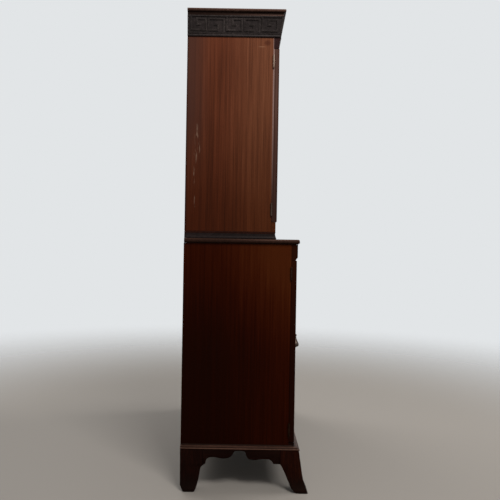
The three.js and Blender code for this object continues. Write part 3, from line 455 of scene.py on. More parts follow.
def upper_side_mahogany(name):
    """A side of the upper case. The left one has the scuffs, the scratch and the knot of the real one."""
    wood = Wood(name)
    board = joint_highlight(wood, upper_board(wood))
    left = wood.x < 0.0
    strokes = wood.rise(wood.noise(wood.place(), SCUFF_STROKES, detail=2, roughness=0.6), 0.47, 0.62)
    scuffs = sum((wood.smudge(*mark) for mark in SCUFFS), 0.0) * strokes
    worn = wood.mix(scuffs * left * 0.7, board, srgb(136, 108, 90))
    scratched = wood.mix(wood.smudge(*SCRATCH) * left * 0.55, worn, srgb(146, 108, 82))
    knotted = wood.mix(wood.smudge(*KNOT) * left * 0.65, scratched, srgb(58, 22, 12))
    return wood.done(knotted, shine=0.1)


def upper_door_mahogany(name, laid_across):
    """A glazed door's frame. Its outer edge is dark and dull with handling, and darker towards the foot as
    painted shade.
    """
    wood = Wood(name, "z", laid_across)
    edge = wood.outer_edge(UPPER_SIDE, top=0.85)
    handled = wood.mix(edge, upper_board(wood), wood.toned(*HANDLED_TONES))
    # Painted shade: the outer edge darkens towards the door's foot
    low = edge * wood.rise(wood.z, *DOOR_SHADE_HEIGHTS, bottom=0.8, top=0.0)
    return wood.done(joint_highlight(wood, wood.mix(low, handled, srgb(36, 18, 15))), shine=0.1)


# %% Lower mahogany, mouldings and feet
RED_SHINE = (1.0, 0.4, 0.25, 1.0)
FRONT_DEPTHS, BROWN_HEIGHTS = (BASE_FRONT + 10 * MM, BACK - 20 * MM), (0.42, 0.86)
DOOR_BACK = BASE_FRONT + 19.5 * MM
TOE_HEIGHTS, FOOT_DEPTHS = (20 * MM, 70 * MM), (BASE_FRONT - 20 * MM, BACK - 100 * MM)
FILLET_HEIGHTS = WAIST - 8 * MM, WAIST - 6.5 * MM


def lower_board(wood):
    """Nearly black red at the back and the foot, brown towards the doors and the top: partly the wood's
    tone, partly painted light and shade.
    """
    # Painted light and shade: paler towards the front and the top, darker towards the back and the foot
    front = wood.rise(wood.y, *FRONT_DEPTHS, bottom=0.5, top=0.0)
    high = wood.rise(wood.z, *BROWN_HEIGHTS, top=0.58)
    return wood.ramp(front + high + (wood.figure() - 0.5) * 1.5, *LOWER_STOPS)


def lower_mahogany(name, axis="z", laid_across=None):
    wood = Wood(name, axis, laid_across)
    door_edge = wood.outer_edge(BASE_SIDE) * (wood.y < DOOR_BACK)
    board = wood.mix(door_edge * 0.75, lower_board(wood), srgb(22, 7, 4))
    return wood.done(board, rough=0.34, shine=0.05, tint=RED_SHINE)


def plain_finish(name, tones, axis, rough=0.42, **look):
    wood = Wood(name, axis)
    return wood.done(wood.toned(*tones), rough, **look)


def worn_and_shaded_finish(name, tones):
    """A moulding's finish. Its arrises are rubbed paler, and its hollows darkened as painted shade, by the
    wear and shade that each of its points carries.
    """
    wood = Wood(name, "x")
    wear_and_shade = wood.node("ShaderNodeAttribute", {"attribute_name": "wear_and_shade"}, output="Fac")
    patchy = wood.rise(wood.cloud * 0.5 + wood.streak * 0.5, 0.36, 0.62, bottom=0.45, top=1.0)
    rubbed = wood.mix(wood.rise(wear_and_shade, 0.0, 1.0) * patchy, wood.toned(*tones), srgb(*MOULDING_WORN))
    # Painted shade: negative values darken the hollows and undersides nearly black
    hollow_shade = wood.mix(wood.rise(0.0 - wear_and_shade, 0.0, 1.0, top=0.8), rubbed, srgb(10, 6, 5))
    return wood.done(hollow_shade, rough=0.38, shine=0.12)


def foot_mahogany(name):
    """A foot's finish: a dark red brown, paler towards the front and darker towards the toe."""
    wood = Wood(name)
    toe = wood.rise(wood.z, *TOE_HEIGHTS, bottom=0.8, top=0.0)
    forward = wood.rise(wood.y, *FOOT_DEPTHS, bottom=0.6, top=0.0)
    board = wood.mix(forward, wood.toned(*DARK_TONES), wood.toned(*FOOT_TONES))
    return wood.done(wood.mix(toe, board, srgb(8, 5, 4)), rough=0.5, shine=0.05)


def waist_finish(name):
    """The moulding at the waist: black, except for its top fillet, which was left the brown of the side."""
    wood = Wood(name, "x")
    fillet = wood.rise(wood.z, *FILLET_HEIGHTS)
    board = wood.mix(fillet, wood.toned(*WAIST_TONES), wood.toned(*FILLET_TONES))
    return wood.done(board, shine=0.06, tint=GREY_SHINE)


# %% [markdown]
# ## Brass, glass and putty
#
# Brass fittings this old are brown with tarnish, and bright only where a hand rubs them. Below a
# height, the hinges of the upper case are darkened as painted shade, and the cupboard's hinges are a
# dark brass, partly tarnish and partly painted shade. The panes are drawn sheet glass with faint
# waves. A pane has to let the lamps through, or the shelves behind it would be black, so rays on their
# way to a lamp see clear film instead. Its index of refraction is lower than that of real glass, or it
# would mirror the plain pale room too brightly.

# %% Brass, glass and putty
BRASS_CLOUDS, BRASS_SPECKS = (160, 160, 160), (1400, 1400, 1400)
GLASS_WAVES, PUTTY_CLOUDS = (9, 9, 5), (90, 90, 90)
WAVE_DEPTH, CLOUD_DEPTH = 2 * MM, 0.5 * MM
GLASS_INDEX = 1.25
SHADED_BELOW = 1.3


def aged_brass(name, bright, dull, dark_below=0.0):
    """Brass with brown tarnish in clouds, and nearly black below a height, a painted shade."""
    brass = Finish(name)
    height = brass.parts(brass.place())[2]
    cloud = brass.rise(brass.noise(brass.place(), BRASS_CLOUDS, detail=4), 0.35, 0.7)
    speck = brass.rise(brass.noise(brass.place(), BRASS_SPECKS, detail=1), 0.6, 0.75)
    colour = brass.mix(cloud, srgb(*bright), srgb(*dull))
    # Painted shade: below the height, the brass is darkened nearly black
    aged = brass.mix((height < dark_below) * 0.8, colour, srgb(38, 24, 18))
    spotted = brass.mix(speck * 0.6, aged, srgb(34, 26, 20))
    rough = cloud * 0.2 + speck * 0.2 + 0.3
    return brass.end(brass.shader(Base_Color=spotted, Metallic=1.0, Roughness=rough))


def old_glass():
    """Clear sheet glass that lets the lamps through, with the faint waves of old drawn sheet."""
    glass = Finish("old_glass")
    bump = glass.bump(0.12, WAVE_DEPTH, glass.noise(glass.place(), GLASS_WAVES, detail=1))
    tint = srgb(238, 246, 242)
    pane = glass.shader(
        Base_Color=tint, Roughness=0.02, Transmission_Weight=1.0, IOR=GLASS_INDEX, Normal=bump,
    )
    clear = glass.node("ShaderNodeBsdfTransparent", inputs={"Color": srgb(240, 246, 243)})
    return glass.end_either(glass.node("ShaderNodeLightPath", output="Is Shadow Ray"), pane, clear)


def old_putty():
    """Hard brown putty, whose colour and surface vary in small clouds."""
    putty = Finish("old_putty")
    cloud = putty.noise(putty.place(), PUTTY_CLOUDS, detail=4, roughness=0.6)
    bump = putty.bump(0.3, CLOUD_DEPTH, cloud)
    colour = putty.mix(putty.rise(cloud, 0.35, 0.65), srgb(78, 62, 48), srgb(118, 98, 78))
    rough = cloud * 0.2 + 0.7
    return putty.end(putty.shader(Base_Color=colour, Roughness=rough, Normal=bump, Specular_IOR_Level=0.2))


# %% Rails of a door lie across, and its stiles stand
def rails_of(prefix, stile, rail):
    """A mask that is 1 on the rails of a framed door: between its stiles, above and below its opening."""
    low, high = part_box(prefix + "_frame")
    middle = (low + high) / 2
    half_width = (high.x - low.x) / 2 - stile
    half_height = (high.z - low.z) / 2 - rail

    def mask(wood):
        between = abs(wood.x - middle.x) < half_width
        beyond = abs(wood.z - middle.z) > half_height
        return between * beyond

    return mask


# %% Finishes for every CAD node
STILE, RAIL = 58 * MM, 66 * MM
GLAZED_STILE, GLAZED_RAIL = 46 * MM, 50 * MM
dressed = {
    "upper_side_": upper_side_mahogany("upper_mahogany_side"),
    "upper_sill": upper_mahogany("upper_mahogany_across", "x"),
    "shelf_": "upper_sill",
    "base_side_": lower_mahogany("lower_mahogany_upright"),
    "base_frieze_rail": lower_mahogany("lower_mahogany_across", "x"),
    "base_bottom": plain_finish("dark_mahogany_across", DARK_TONES, "x"),
    "apron_front": "base_bottom",
    "foot_": foot_mahogany("dark_mahogany_upright"),
    "apron_left": plain_finish("dark_mahogany_deep", DARK_TONES, "y"),
    "apron_right": "apron_left",
    "base_moulding": worn_and_shaded_finish("worn_shaded_moulding", MOULDING_TONES),
    "base_top": "base_moulding",
    "cornice_cap": worn_and_shaded_finish("worn_shaded_cap", CAP_TONES),
    "upper_fascia": plain_finish("fascia_mahogany", FASCIA_TONES, "x"),
    "waist_moulding": waist_finish("ebonised_waist"),
    "cornice_frieze": plain_finish("ebonised_across", BLACK_TONES, "x", shine=0.12, tint=GREY_SHINE),
    "cornice_fret_": plain_finish("ebonised_fret", FRET_TONES, "x", tint=GREY_SHINE),
    "base_back": plain_finish("carcass_upright", CARCASS_TONES, "z", rough=0.6, relief=0.5),
    "upper_back": "base_back",
    "base_shelf": plain_finish("carcass_across", CARCASS_TONES, "x", rough=0.6, relief=0.5),
    "upper_bottom": "base_shelf",
    "upper_top": "base_shelf",
    # The cupboard's hinges: a dark brass, partly tarnish and partly painted shade
    "base_door_left_hinge": aged_brass("tarnished_shaded_brass", (52, 34, 24), (26, 16, 11)),
    "base_door_right_hinge": "base_door_left_hinge",
    # Hinges of the upper case, painted darker below a height as shade
    "": aged_brass("rubbed_brass", (142, 122, 108), (104, 84, 72), SHADED_BELOW),
}
pull_brass = aged_brass("pull_brass", (86, 75, 66), (46, 40, 37))
# A paler ebony for the fret's rounds: a painted highlight along its edges
fret_edge_highlight = plain_finish("fret_edge_highlight", FRET_HIGHLIGHT_TONES, "x", tint=GREY_SHINE)
glass_finish = old_glass()
for hand in HANDS:
    base, glazed = f"base_door_{hand}", f"glazed_door_{hand}"
    dressed[base + "_frame"] = lower_mahogany(base + "_frame_mahogany", "z", rails_of(base, STILE, RAIL))
    dressed[base + "_panel"] = dressed["base_side_"]
    dressed[base + "_pull"] = pull_brass
    mask = rails_of(glazed, GLAZED_STILE, GLAZED_RAIL)
    dressed[glazed + "_frame"] = upper_door_mahogany(glazed + "_frame_mahogany", mask)
    dressed[glazed + "_bars"] = upper_mahogany(glazed + "_bar_mahogany")
    dressed[glazed + "_glass"] = glass_finish


def entry_for(node, table):
    """The entry under the longest key that the node's name starts with."""
    return table[max((key for key in table if node.startswith(key)), key=len)]


def finish_for(node):
    """A node's finish. An entry that is a name stands for the finish under that name."""
    found = entry_for(node, dressed)
    return dressed[found] if isinstance(found, str) else found


for name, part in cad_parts.items():
    part.data.materials.clear()
    part.data.materials.append(finish_for(name))
    # The fret's rounds get the second, paler material, a painted highlight
    if name.startswith("cornice_fret_"):
        part.data.materials.append(fret_edge_highlight)
print("finishes:", len(bpy.data.materials))

# %% [markdown]
# ## Soft arrises
#
# A planed board has sharp corners, and a century of polishing rounds them by about a millimetre. That
# round is what catches the light along every edge, so without it joinery looks like cut paper. A
# Bevel modifier does it without touching the joiner's mesh. The triangles of that mesh are merged
# into whole faces first, or every diagonal would cramp the round. The glazing bars and the frets skip
# that merge, because faces with so many openings would come out as dark leaves. The bars get no round
# at all. The round of a fret takes a second, paler material, a painted highlight along its edges. A
# small node group then shades faces smooth and keeps edges sharp where they turn.

# %% Shade smooth, except at corners
SHARP_TURN, ARRIS_TURN, FLAT_TURN = math.radians(32), math.radians(38), math.radians(1)
SAME_POINT = 0.01 * MM


def smooth_group():
    """A node group that shades a mesh smooth and keeps each edge sharp that turns by more than the limit."""
    group = bpy.data.node_groups.new("smooth_except_corners", "GeometryNodeTree")
    group.is_modifier = True
    for way in ("INPUT", "OUTPUT"):
        group.interface.new_socket("Geometry", in_out=way, socket_type="NodeSocketGeometry")
    graph = Graph(group)
    mesh = graph.node("NodeGroupInput")
    smooth = graph.node("GeometryNodeSetShadeSmooth", {"domain": "FACE"}, {"Geometry": mesh})
    turn = graph.node("GeometryNodeInputMeshEdgeAngle")
    corner = turn > SHARP_TURN
    kept = graph.node("GeometryNodeSetShadeSmooth", {"domain": "EDGE"}, {
        "Geometry": smooth, "Selection": corner, "Shade Smooth": False,
    })
    graph.node("NodeGroupOutput", inputs={0: kept})
    return group


smooth_except_corners = smooth_group()


def modify(part, name, kind, **settings):
    modifier = part.modifiers.new(name, kind)
    for key, value in settings.items():
        setattr(modifier, key, value)


def soften(part, width, merge=True):
    """Rounds a part's corners by a width, and shades it smooth. A part with two materials keeps its
    triangles, and shows the second material on its rounds."""
    two_toned = len(part.data.materials) > 1
    if merge:
        modify(part, "merged", "WELD", merge_threshold=SAME_POINT)
        if not two_toned:
            modify(part, "whole_faces", "DECIMATE", decimate_type="DISSOLVE", angle_limit=FLAT_TURN)
    if width:
        modify(
            part, "soft_arris", "BEVEL", width=width, segments=2, limit_method="ANGLE",
            angle_limit=ARRIS_TURN, use_clamp_overlap=not two_toned, material=int(two_toned),
        )
    modify(part, "smooth", "NODES", node_group=smooth_except_corners)
    if merge:
        modify(part, "flat_faces_flat", "WEIGHTED_NORMAL", keep_sharp=True)


# %% Widths of the soft arrises
BRASS_ARRIS, ROSE_ARRIS, MOULDING_ARRIS = 0.25 * MM, 0.4 * MM, 0.6 * MM
SAWN_ARRIS, FOOT_ARRIS = 0.7 * MM, 1.2 * MM
ARRISES = {
    "": 0.8 * MM, "foot_": 0.0, "glazed_door_left_glass": 0.3 * MM, "glazed_door_right_glass": 0.3 * MM,
    "cornice_fret_": 0.6 * MM, "base_back": 0.3 * MM, "upper_back": 0.3 * MM, "apron_": 1.0 * MM,
}
for name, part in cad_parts.items():
    brass_part = "hinge" in name or "pull" in name
    if name.endswith("bars"):
        soften(part, 0.0, merge=False)
    else:
        soften(part, BRASS_ARRIS if brass_part else entry_for(name, ARRISES))
print("softened:", len(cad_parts), "CAD nodes")

# %% [markdown]
# ## Shapes from rings and profiles
#
# Mouldings, feet and turned brass are smooth, and a joiner's model of them has facets. Here they are
# made again as numpy arrays: a shape is a stack of rings, each ring a row of points, and one function
# skins the stack. A moulding's profile is drawn with a few corners, and cutting those corners twice
# gives the eased line of old work, which never leaves the outline that it starts from. Each point of a
# profile also carries its wear and shade: rubbed pale where it turns outwards sharply, and darkened as
# painted shade in the hollows and under overhangs.

# %% Skins and pieces
DOUBLES_APART = 0.001 * MM


def skin(rings, looped=False):
    """Points and faces of a stack of closed rings, with an end face on both ends or closed on itself."""
    rows, columns = rings.shape[:2]
    index = np.arange(rows * columns).reshape(rows, columns)
    here = index if looped else index[:-1]
    above = np.roll(index, -1, axis=0)[:len(here)]
    quads = np.stack([here, np.roll(here, -1, axis=1), np.roll(above, -1, axis=1), above], axis=-1)
    ends = [] if looped else [index[0, ::-1].tolist(), index[-1].tolist()]
    return rings.reshape(-1, 3), quads.reshape(-1, 4).tolist() + ends


def add_piece(name, shells, finish, body, stands_for=(), arris=0.0, wear_and_shade=None):
    """One new piece from closed shells. Its doubles are merged, and its faces are turned outwards."""
    points = np.concatenate([points for points, _ in shells])
    faces = []
    start = 0
    for shell_points, shell_faces in shells:
        faces += [[start + i for i in face] for face in shell_faces]
        start += len(shell_points)
    mesh = bpy.data.meshes.new(name)
    mesh.from_pydata(points.tolist(), [], faces)
    if wear_and_shade is not None:
        mesh.attributes.new("wear_and_shade", "FLOAT", "POINT").data.foreach_set("value", wear_and_shade.ravel())
    work = bmesh.new()
    work.from_mesh(mesh)
    bmesh.ops.remove_doubles(work, verts=work.verts, dist=DOUBLES_APART)
    bmesh.ops.recalc_face_normals(work, faces=work.faces)
    work.to_mesh(mesh)
    work.free()
    mesh.materials.append(finish)
    added = bpy.data.objects.new(name, mesh)
    bpy.context.scene.collection.objects.link(added)
    soften(added, arris, merge=False)
    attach(added, body)
    if stands_for:
        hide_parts(*stands_for)


def case_piece(name, rings, node, arris=0.0, wear_and_shade=None):
    """A piece of the case from one stack of rings. It stands for a CAD node, and has its finish."""
    add_piece(name, [skin(rings)], finish_for(node), "case", [node], arris, wear_and_shade)


# %% Profiles
def eased(points, rounds=2, share=0.22):
    """Cuts each corner of a line of points: every side keeps its middle part, and the ends stay."""
    line = np.asarray(points, float)
    for _ in range(rounds):
        start, end = line[:-1], line[1:]
        kept = np.stack([start + (end - start) * share, end - (end - start) * share], axis=1)
        line = np.concatenate([line[:1], kept.reshape(-1, line.shape[1])[1:-1], line[-1:]])
    return line


def moulded(shares, width, height, foot):
    """An eased profile in metres, and its wear and painted shade, from corners of (share of width, share of
    height, wear and shade).
    """
    out, up, wear_and_shade = eased(shares).T
    return np.stack([out * width, up * height + foot], axis=1), wear_and_shade


def carried(profile, path):
    """A profile of (out, up) carried along level corners. At a corner it leans half way between its
    two runs, which is a mitre."""
    corners = np.array(path)
    along = np.diff(corners, axis=0)
    along /= np.linalg.norm(along, axis=1, keepdims=True)
    outward = np.stack([along[:, 1], -along[:, 0]], axis=1)
    before, after = outward[[0, *range(len(outward))]], outward[[*range(len(outward)), -1]]
    mitre = (before + after) / (1 + (before * after).sum(axis=1, keepdims=True))
    level = corners[:, None, :] + mitre[:, None, :] * profile[None, :, :1]
    height = np.broadcast_to(profile[None, :, 1:], (*level.shape[:2], 1))
    return np.concatenate([level, height], axis=2)


def stacked(profile, side, front, back):
    """A level board whose front and ends follow a profile: each point of it is one rectangle."""
    out, up = profile.T
    rear = np.full_like(up, back)
    left, right = -side - out, side + out
    corners = [(left, rear, up), (left, front - out, up), (right, front - out, up), (right, rear, up)]
    return np.stack([np.stack(corner, axis=-1) for corner in corners], axis=1)


# %% [markdown]
# ## Mouldings
#
# Three mouldings are seen from the side: the plinth moulding on the feet, the edge of the cupboard's
# top board, and the cap of the cornice. The plinth moulding is one run, mitred at the front corners.
# The two boards are solid, so their edge is a stack of rectangles.

# %% Plinth moulding, top board and cap
plinth_low, plinth_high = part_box("base_moulding")
plinth_out = -plinth_low.x - BASE_SIDE
# Corners of (share of width, share of height, wear): above 0 rubbed pale, below 0 painted shade
PLINTH_SHARES = [
    (0.02, 0, -1), (0.94, 0, -1), (1, 0.05, -0.3), (1, 0.14, 0.2), (0.95, 0.26, 0.95), (0.82, 0.3, 0.3),
    (0.72, 0.35, -0.7), (0.7, 0.46, -0.1), (0.63, 0.6, 0.35), (0.42, 0.7, 0.5), (0.18, 0.74, 0.1),
    (0.06, 0.79, -1), (0.02, 1, -1),
]
plinth_profile, wear_and_shade = moulded(PLINTH_SHARES, plinth_out, plinth_high.z - plinth_low.z, plinth_low.z)
plinth_path = [(-BASE_SIDE, BACK), (-BASE_SIDE, BASE_FRONT), (BASE_SIDE, BASE_FRONT), (BASE_SIDE, BACK)]
plinth_wear_and_shade = np.tile(wear_and_shade, (len(plinth_path), 1))
case_piece("plinth_moulding", carried(plinth_profile, plinth_path), "base_moulding", wear_and_shade=plinth_wear_and_shade)


def moulded_board(name, node, shares, side, front):
    """A board that stands for a CAD node of the same outside size, with a finer edge."""
    low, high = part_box(node)
    profile, wear_and_shade = moulded(shares, -low.x - side, high.z - low.z, low.z)
    rings = stacked(profile, side, front, high.y)
    case_piece(name, rings, node, MOULDING_ARRIS, np.repeat(wear_and_shade[:, None], rings.shape[1], axis=1))


# Below 0 in the third column is painted shade under each board's edge and in its hollows
TOP_SHARES = [
    (0.3, 0, -1), (0.45, 0, -1), (0.47, 0.1, -1), (0.85, 0.17, -0.4), (1, 0.36, 0), (0.96, 0.64, 0.1),
    (0.8, 0.92, 0.3), (0.5, 1, 0.2), (0.3, 1, 0.1),
]
CAP_SHARES = [
    (0.4, 0, -1), (0.64, 0, -1), (0.6, 0.14, -0.85), (0.61, 0.36, -0.9), (0.7, 0.47, -1), (0.86, 0.5, -0.6),
    (0.97, 0.58, 0.1), (1, 0.76, 0.35), (0.97, 0.9, 0.6), (0.84, 1, 0.8), (0.4, 1, 0),
]
moulded_board("cupboard_top_board", "base_top", TOP_SHARES, BASE_SIDE, BASE_FRONT)
moulded_board("cornice_cap_board", "cornice_cap", CAP_SHARES, UPPER_SIDE, UPPER_FRONT)
print("plinth profile:", len(plinth_profile), "points")

# %% [markdown]
# ## Splayed feet
#
# A bracket foot is cut from one thick block. Its outer faces sweep out to a toe, and its inner faces
# run down from the apron in a long hollow curve. The shape is a stack of level rectangles with
# rounded corners: four curves of height say where the four sides are. The rear feet are straight
# behind, with a rounded heel, so that the piece can stand against a wall.

# %% Curves of a foot
foot_low, foot_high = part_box("foot_front_left")
FOOT_HEIGHT = foot_high.z
FOOT_WIDTH, REAR_FOOT_WIDTH = 65.5 * MM, 80 * MM
KNEE_HEIGHT = FOOT_HEIGHT - 48.5 * MM
FOOT_OUTER = FOOT_WIDTH - foot_high.x
TOE_SPLAY = -foot_low.x - FOOT_OUTER
HEEL_HEIGHT, HEEL_INSET, HEEL_RAKE = 21 * MM, 11.5 * MM, 4 * MM
HEEL_BEND = 1.15
ARC_POINTS = 5
SPLAY_SHARES = eased([
    (0, 0), (0.2, 0.135), (0.45, 0.3), (0.6, 0.41), (0.7, 0.5), (0.8, 0.63), (0.88, 0.78), (0.94, 0.93),
    (1, 1),
])
INNER_SHARES = eased([
    (0, 0.16), (0.06, 0.29), (0.165, 0.43), (0.3, 0.52), (0.474, 0.62), (0.7, 0.76), (0.86, 0.87),
    (0.95, 0.94), (1, 1),
])
REAR_SHARES = eased([
    (0, 0.66), (0.04, 0.7), (0.165, 0.765), (0.474, 0.855), (0.8, 0.91), (0.88, 0.94), (0.95, 1.02),
    (1, 1.13),
])


def along_curve(shares, at):
    """Reads a curve of (share, share) points, and holds its last value beyond its end."""
    return np.interp(at, *shares.T)


def squared_rings(x0, x1, y0, y1, z, radius):
    """Level rectangles with rounded corners, one for each height: the middle of each corner's arc
    stands in from the corner by the radius, and the arc goes a quarter turn round it."""
    quarter = np.arange(4)[:, None] * np.pi / 2 + np.linspace(0, np.pi / 2, ARC_POINTS)
    side_x, side_y = np.array([1, -1, -1, 1])[:, None], np.array([1, 1, -1, -1])[:, None]
    wide, deep = np.abs(x1 - x0) / 2 - radius, np.abs(y1 - y0) / 2 - radius
    x = ((x0 + x1) / 2)[:, None, None] + wide[:, None, None] * side_x + radius * np.cos(quarter)
    y = ((y0 + y1) / 2)[:, None, None] + deep[:, None, None] * side_y + radius * np.sin(quarter)
    height = np.broadcast_to(z[:, None, None], x.shape)
    return np.stack([x, y, height], axis=-1).reshape(len(z), -1, 3)


# %% Four feet
KNEE_LEVELS, HEAD_LEVELS = 48, 14
FOOT_ROUND = 2.2 * MM


def foot_rings(side, rear):
    """A foot's rings from the sole up, with the four sides as curves of height. The knee has two rings,
    because a rear foot is wider just below the apron's foot than beside the apron."""
    head = np.linspace(KNEE_HEIGHT, FOOT_HEIGHT, HEAD_LEVELS)
    z = np.concatenate([np.linspace(0, KNEE_HEIGHT, KNEE_LEVELS), head])
    beside_apron = np.arange(len(z)) >= KNEE_LEVELS
    splay = TOE_SPLAY * along_curve(SPLAY_SHARES, 1 - z / FOOT_HEIGHT)
    inner = FOOT_WIDTH * along_curve(INNER_SHARES, z / KNEE_HEIGHT)
    outer_x, inner_x = side * (FOOT_OUTER + splay), side * (FOOT_OUTER - inner)
    if rear:
        lift = np.clip(1 - z / HEEL_HEIGHT, 0, None)
        back = BACK - HEEL_RAKE * (1 - z / FOOT_HEIGHT) - HEEL_INSET * lift ** HEEL_BEND
        widths = np.where(beside_apron, 1.0, along_curve(REAR_SHARES, z / KNEE_HEIGHT))
        front = BACK - REAR_FOOT_WIDTH * widths
        return squared_rings(inner_x, outer_x, front, back, z, FOOT_ROUND)
    face = BASE_FRONT - (FOOT_OUTER - BASE_SIDE)
    return squared_rings(inner_x, outer_x, face - splay, face + inner, z, FOOT_ROUND)


for hand, side in HANDS.items():
    for end in ("front", "rear"):
        node = f"foot_{end}_{hand}"
        case_piece(f"splayed_{node}", foot_rings(side, end == "rear"), node, FOOT_ARRIS)
print(f"toes splay {TOE_SPLAY / MM:.1f} mm")

# %% [markdown]
# ## Side aprons
#
# Between the two feet of each side runs a shaped apron, sawn by hand: two lobes with a notch between
# them, and a cusp beside each foot. The front lobe hangs a little lower than the rear one. The sawn
# line is drawn with corners in millimetres, as (forwards from the back, up), and eased.

# %% Two side aprons
APRON_LINE = [
    (80.3, 90), (90.5, 90), (91.5, 98), (95, 105), (104, 110.5), (120, 111.5), (139, 108), (155, 106),
    (170, 109), (181, 114.5), (187, 124), (192, 133), (199, 134), (226, 134), (230, 129), (235, 114),
    (243, 105.5), (252, 102.5), (264, 102.2), (285, 105.6), (302, 107), (317, 105.5), (325, 98), (329, 91),
    (331, 90), (352.7, 90),
]
apron_line = eased(APRON_LINE) * (-MM, MM) + (BACK, 0.0)
apron_head = [(apron_line[-1, 0], FOOT_HEIGHT), (apron_line[0, 0], FOOT_HEIGHT)]
apron_outline = np.concatenate([apron_line, apron_head])
for hand in HANDS:
    low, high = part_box(f"apron_{hand}")
    faces = [np.insert(apron_outline, 0, x, axis=1) for x in (low.x, high.x)]
    case_piece(f"sawn_apron_{hand}", np.stack(faces), f"apron_{hand}", SAWN_ARRIS)
print("apron line:", len(apron_line), "points")

# %% [markdown]
# ## Turned brass pulls
#
# Each lower door has a cast rose with a long turned stem, and a pear drop that hangs from a pin in the
# stem's fork. The drop keeps its eye as a small ring round the pin, and rides on its own body,
# because it swings.

# %% Turning
TURNED_SIDES, RING_SIDES, WIRE_SIDES = 40, 24, 10


def turned(profile, centre, ahead, across):
    """A profile of (radius, along) points turned round an axis: along goes ahead from the centre, and
    the ring at each point is the radius times the cosine and sine of its angle."""
    ahead, across = np.array(ahead, float), np.array(across, float)
    third = np.cross(ahead, across)
    angle = np.linspace(0, 2 * np.pi, TURNED_SIDES, endpoint=False)[None, :, None]
    radius, along = profile[:, 0, None, None], profile[:, 1, None, None]
    ring = np.cos(angle) * across + np.sin(angle) * third
    return np.array(centre) + radius * ring + along * ahead


def ring_round(centre, axis, ring_radius, wire_radius):
    """A ring of round wire: a small circle carried round a big one."""
    axis, across = np.array(axis, float), np.array([0.0, 0.0, 1.0])
    third = np.cross(axis, across)
    big = np.linspace(0, 2 * np.pi, RING_SIDES, endpoint=False)[:, None, None]
    small = np.linspace(0, 2 * np.pi, WIRE_SIDES, endpoint=False)[None, :, None]
    outward = np.cos(big) * across + np.sin(big) * third
    reach = ring_radius + wire_radius * np.cos(small)
    return np.array(centre) + outward * reach + axis * wire_radius * np.sin(small)


# %% Pulls
PIVOT_OUT, STEM = 42 * MM, 36 * MM
ROSE_RADIUS, DROP_LENGTH, DROP_RADIUS = 17 * MM, 52 * MM, 14.5 * MM
GLUE_GAP = 0.3 * MM
CHEEK_IN, CHEEK_OUT, CHEEK_REACH = 1.9 * MM, 3.9 * MM, 4 * MM
PIN_RADIUS, PIN_HALF_LENGTH = 1.4 * MM, 1.15 * CHEEK_OUT
EYE_RADIUS, WIRE_RADIUS, NECK_RADIUS = 2.9 * MM, 1.1 * MM, 1.5 * MM
ROSE_SHARES = [
    (0, 0), (0.98, 0), (1, 0.015), (1, 0.045), (0.93, 0.07), (0.84, 0.07), (0.8, 0.1), (0.55, 0.14),
    (0.42, 0.17), (0.42, 0.21), (0.3, 0.24), (0.24, 0.4), (0.22, 0.56), (0.25, 0.68), (0.33, 0.72),
    (0.38, 0.8), (0.36, 0.9), (0.33, 1), (0, 1),
]
DROP_SHARES = [
    (0, 0.11), (0.2, 0.11), (0.3, 0.13), (0.3, 0.17), (0.24, 0.2), (0.24, 0.24), (0.32, 0.28), (0.4, 0.34),
    (0.58, 0.46), (0.82, 0.6), (0.98, 0.71), (1, 0.8), (0.9, 0.88), (0.6, 0.94), (0.3, 0.96), (0.2, 1),
    (0, 1),
]
PIN_SHARES = [(0, -1), (0.8, -1), (1, -0.94), (1, 0.94), (0.8, 1), (0, 1)]
NECK_SHARES = [(0, 0.06), (1, 0.06), (0.8, 0.09), (0.9, 0.13), (0, 0.13)]
rose_profile = eased(ROSE_SHARES) * (ROSE_RADIUS, STEM)
pin_profile = eased(PIN_SHARES) * (PIN_RADIUS, PIN_HALF_LENGTH)
drop_profile = eased(DROP_SHARES) * (DROP_RADIUS, DROP_LENGTH)
neck_profile = eased(NECK_SHARES) * (NECK_RADIUS, DROP_LENGTH)


def pull_pieces(hand):
    """The rose with its forked stem and pin, and the drop with its eye and neck."""
    door = f"base_door_{hand}"
    pull = door + "_pull"
    rose_low, rose_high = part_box(pull + "_rose")
    middle = (rose_low + rose_high) / 2
    pivot = (middle.x, BASE_FRONT - PIVOT_OUT, middle.z)
    seat = (middle.x, BASE_FRONT - GLUE_GAP, middle.z)
    rose = turned(rose_profile, seat, (0, -1, 0), (1, 0, 0))
    cheek_ends = pivot[1] - CHEEK_REACH, BASE_FRONT - STEM + CHEEK_REACH / 2
    cheeks = []
    for turn in (LEFT, RIGHT):
        inner, outer = middle.x + turn * CHEEK_IN, middle.x + turn * CHEEK_OUT
        square = [(inner, -1), (outer, -1), (outer, 1), (inner, 1)]
        cheeks.append(np.array([
            [(x, y, middle.z + up * CHEEK_REACH) for x, up in square] for y in cheek_ends
        ]))
    pin = turned(pin_profile, pivot, (1, 0, 0), (0, 0, 1))
    shells = [skin(rings) for rings in (rose, *cheeks, pin)]
    add_piece(pull + "_turned_rose", shells, pull_brass, door, [pull + "_rose"], ROSE_ARRIS)
    pear = turned(drop_profile, pivot, (0, 0, -1), (1, 0, 0))
    eye = ring_round(pivot, (1, 0, 0), EYE_RADIUS, WIRE_RADIUS)
    neck = turned(neck_profile, pivot, (0, 0, -1), (1, 0, 0))
    shells = [skin(pear), skin(eye, looped=True), skin(neck)]
    add_piece(pull + "_pear_drop", shells, pull_brass, pull, [pull + "_drop"])


for hand in HANDS:
    pull_pieces(hand)
print("pull pieces for", list(HANDS))

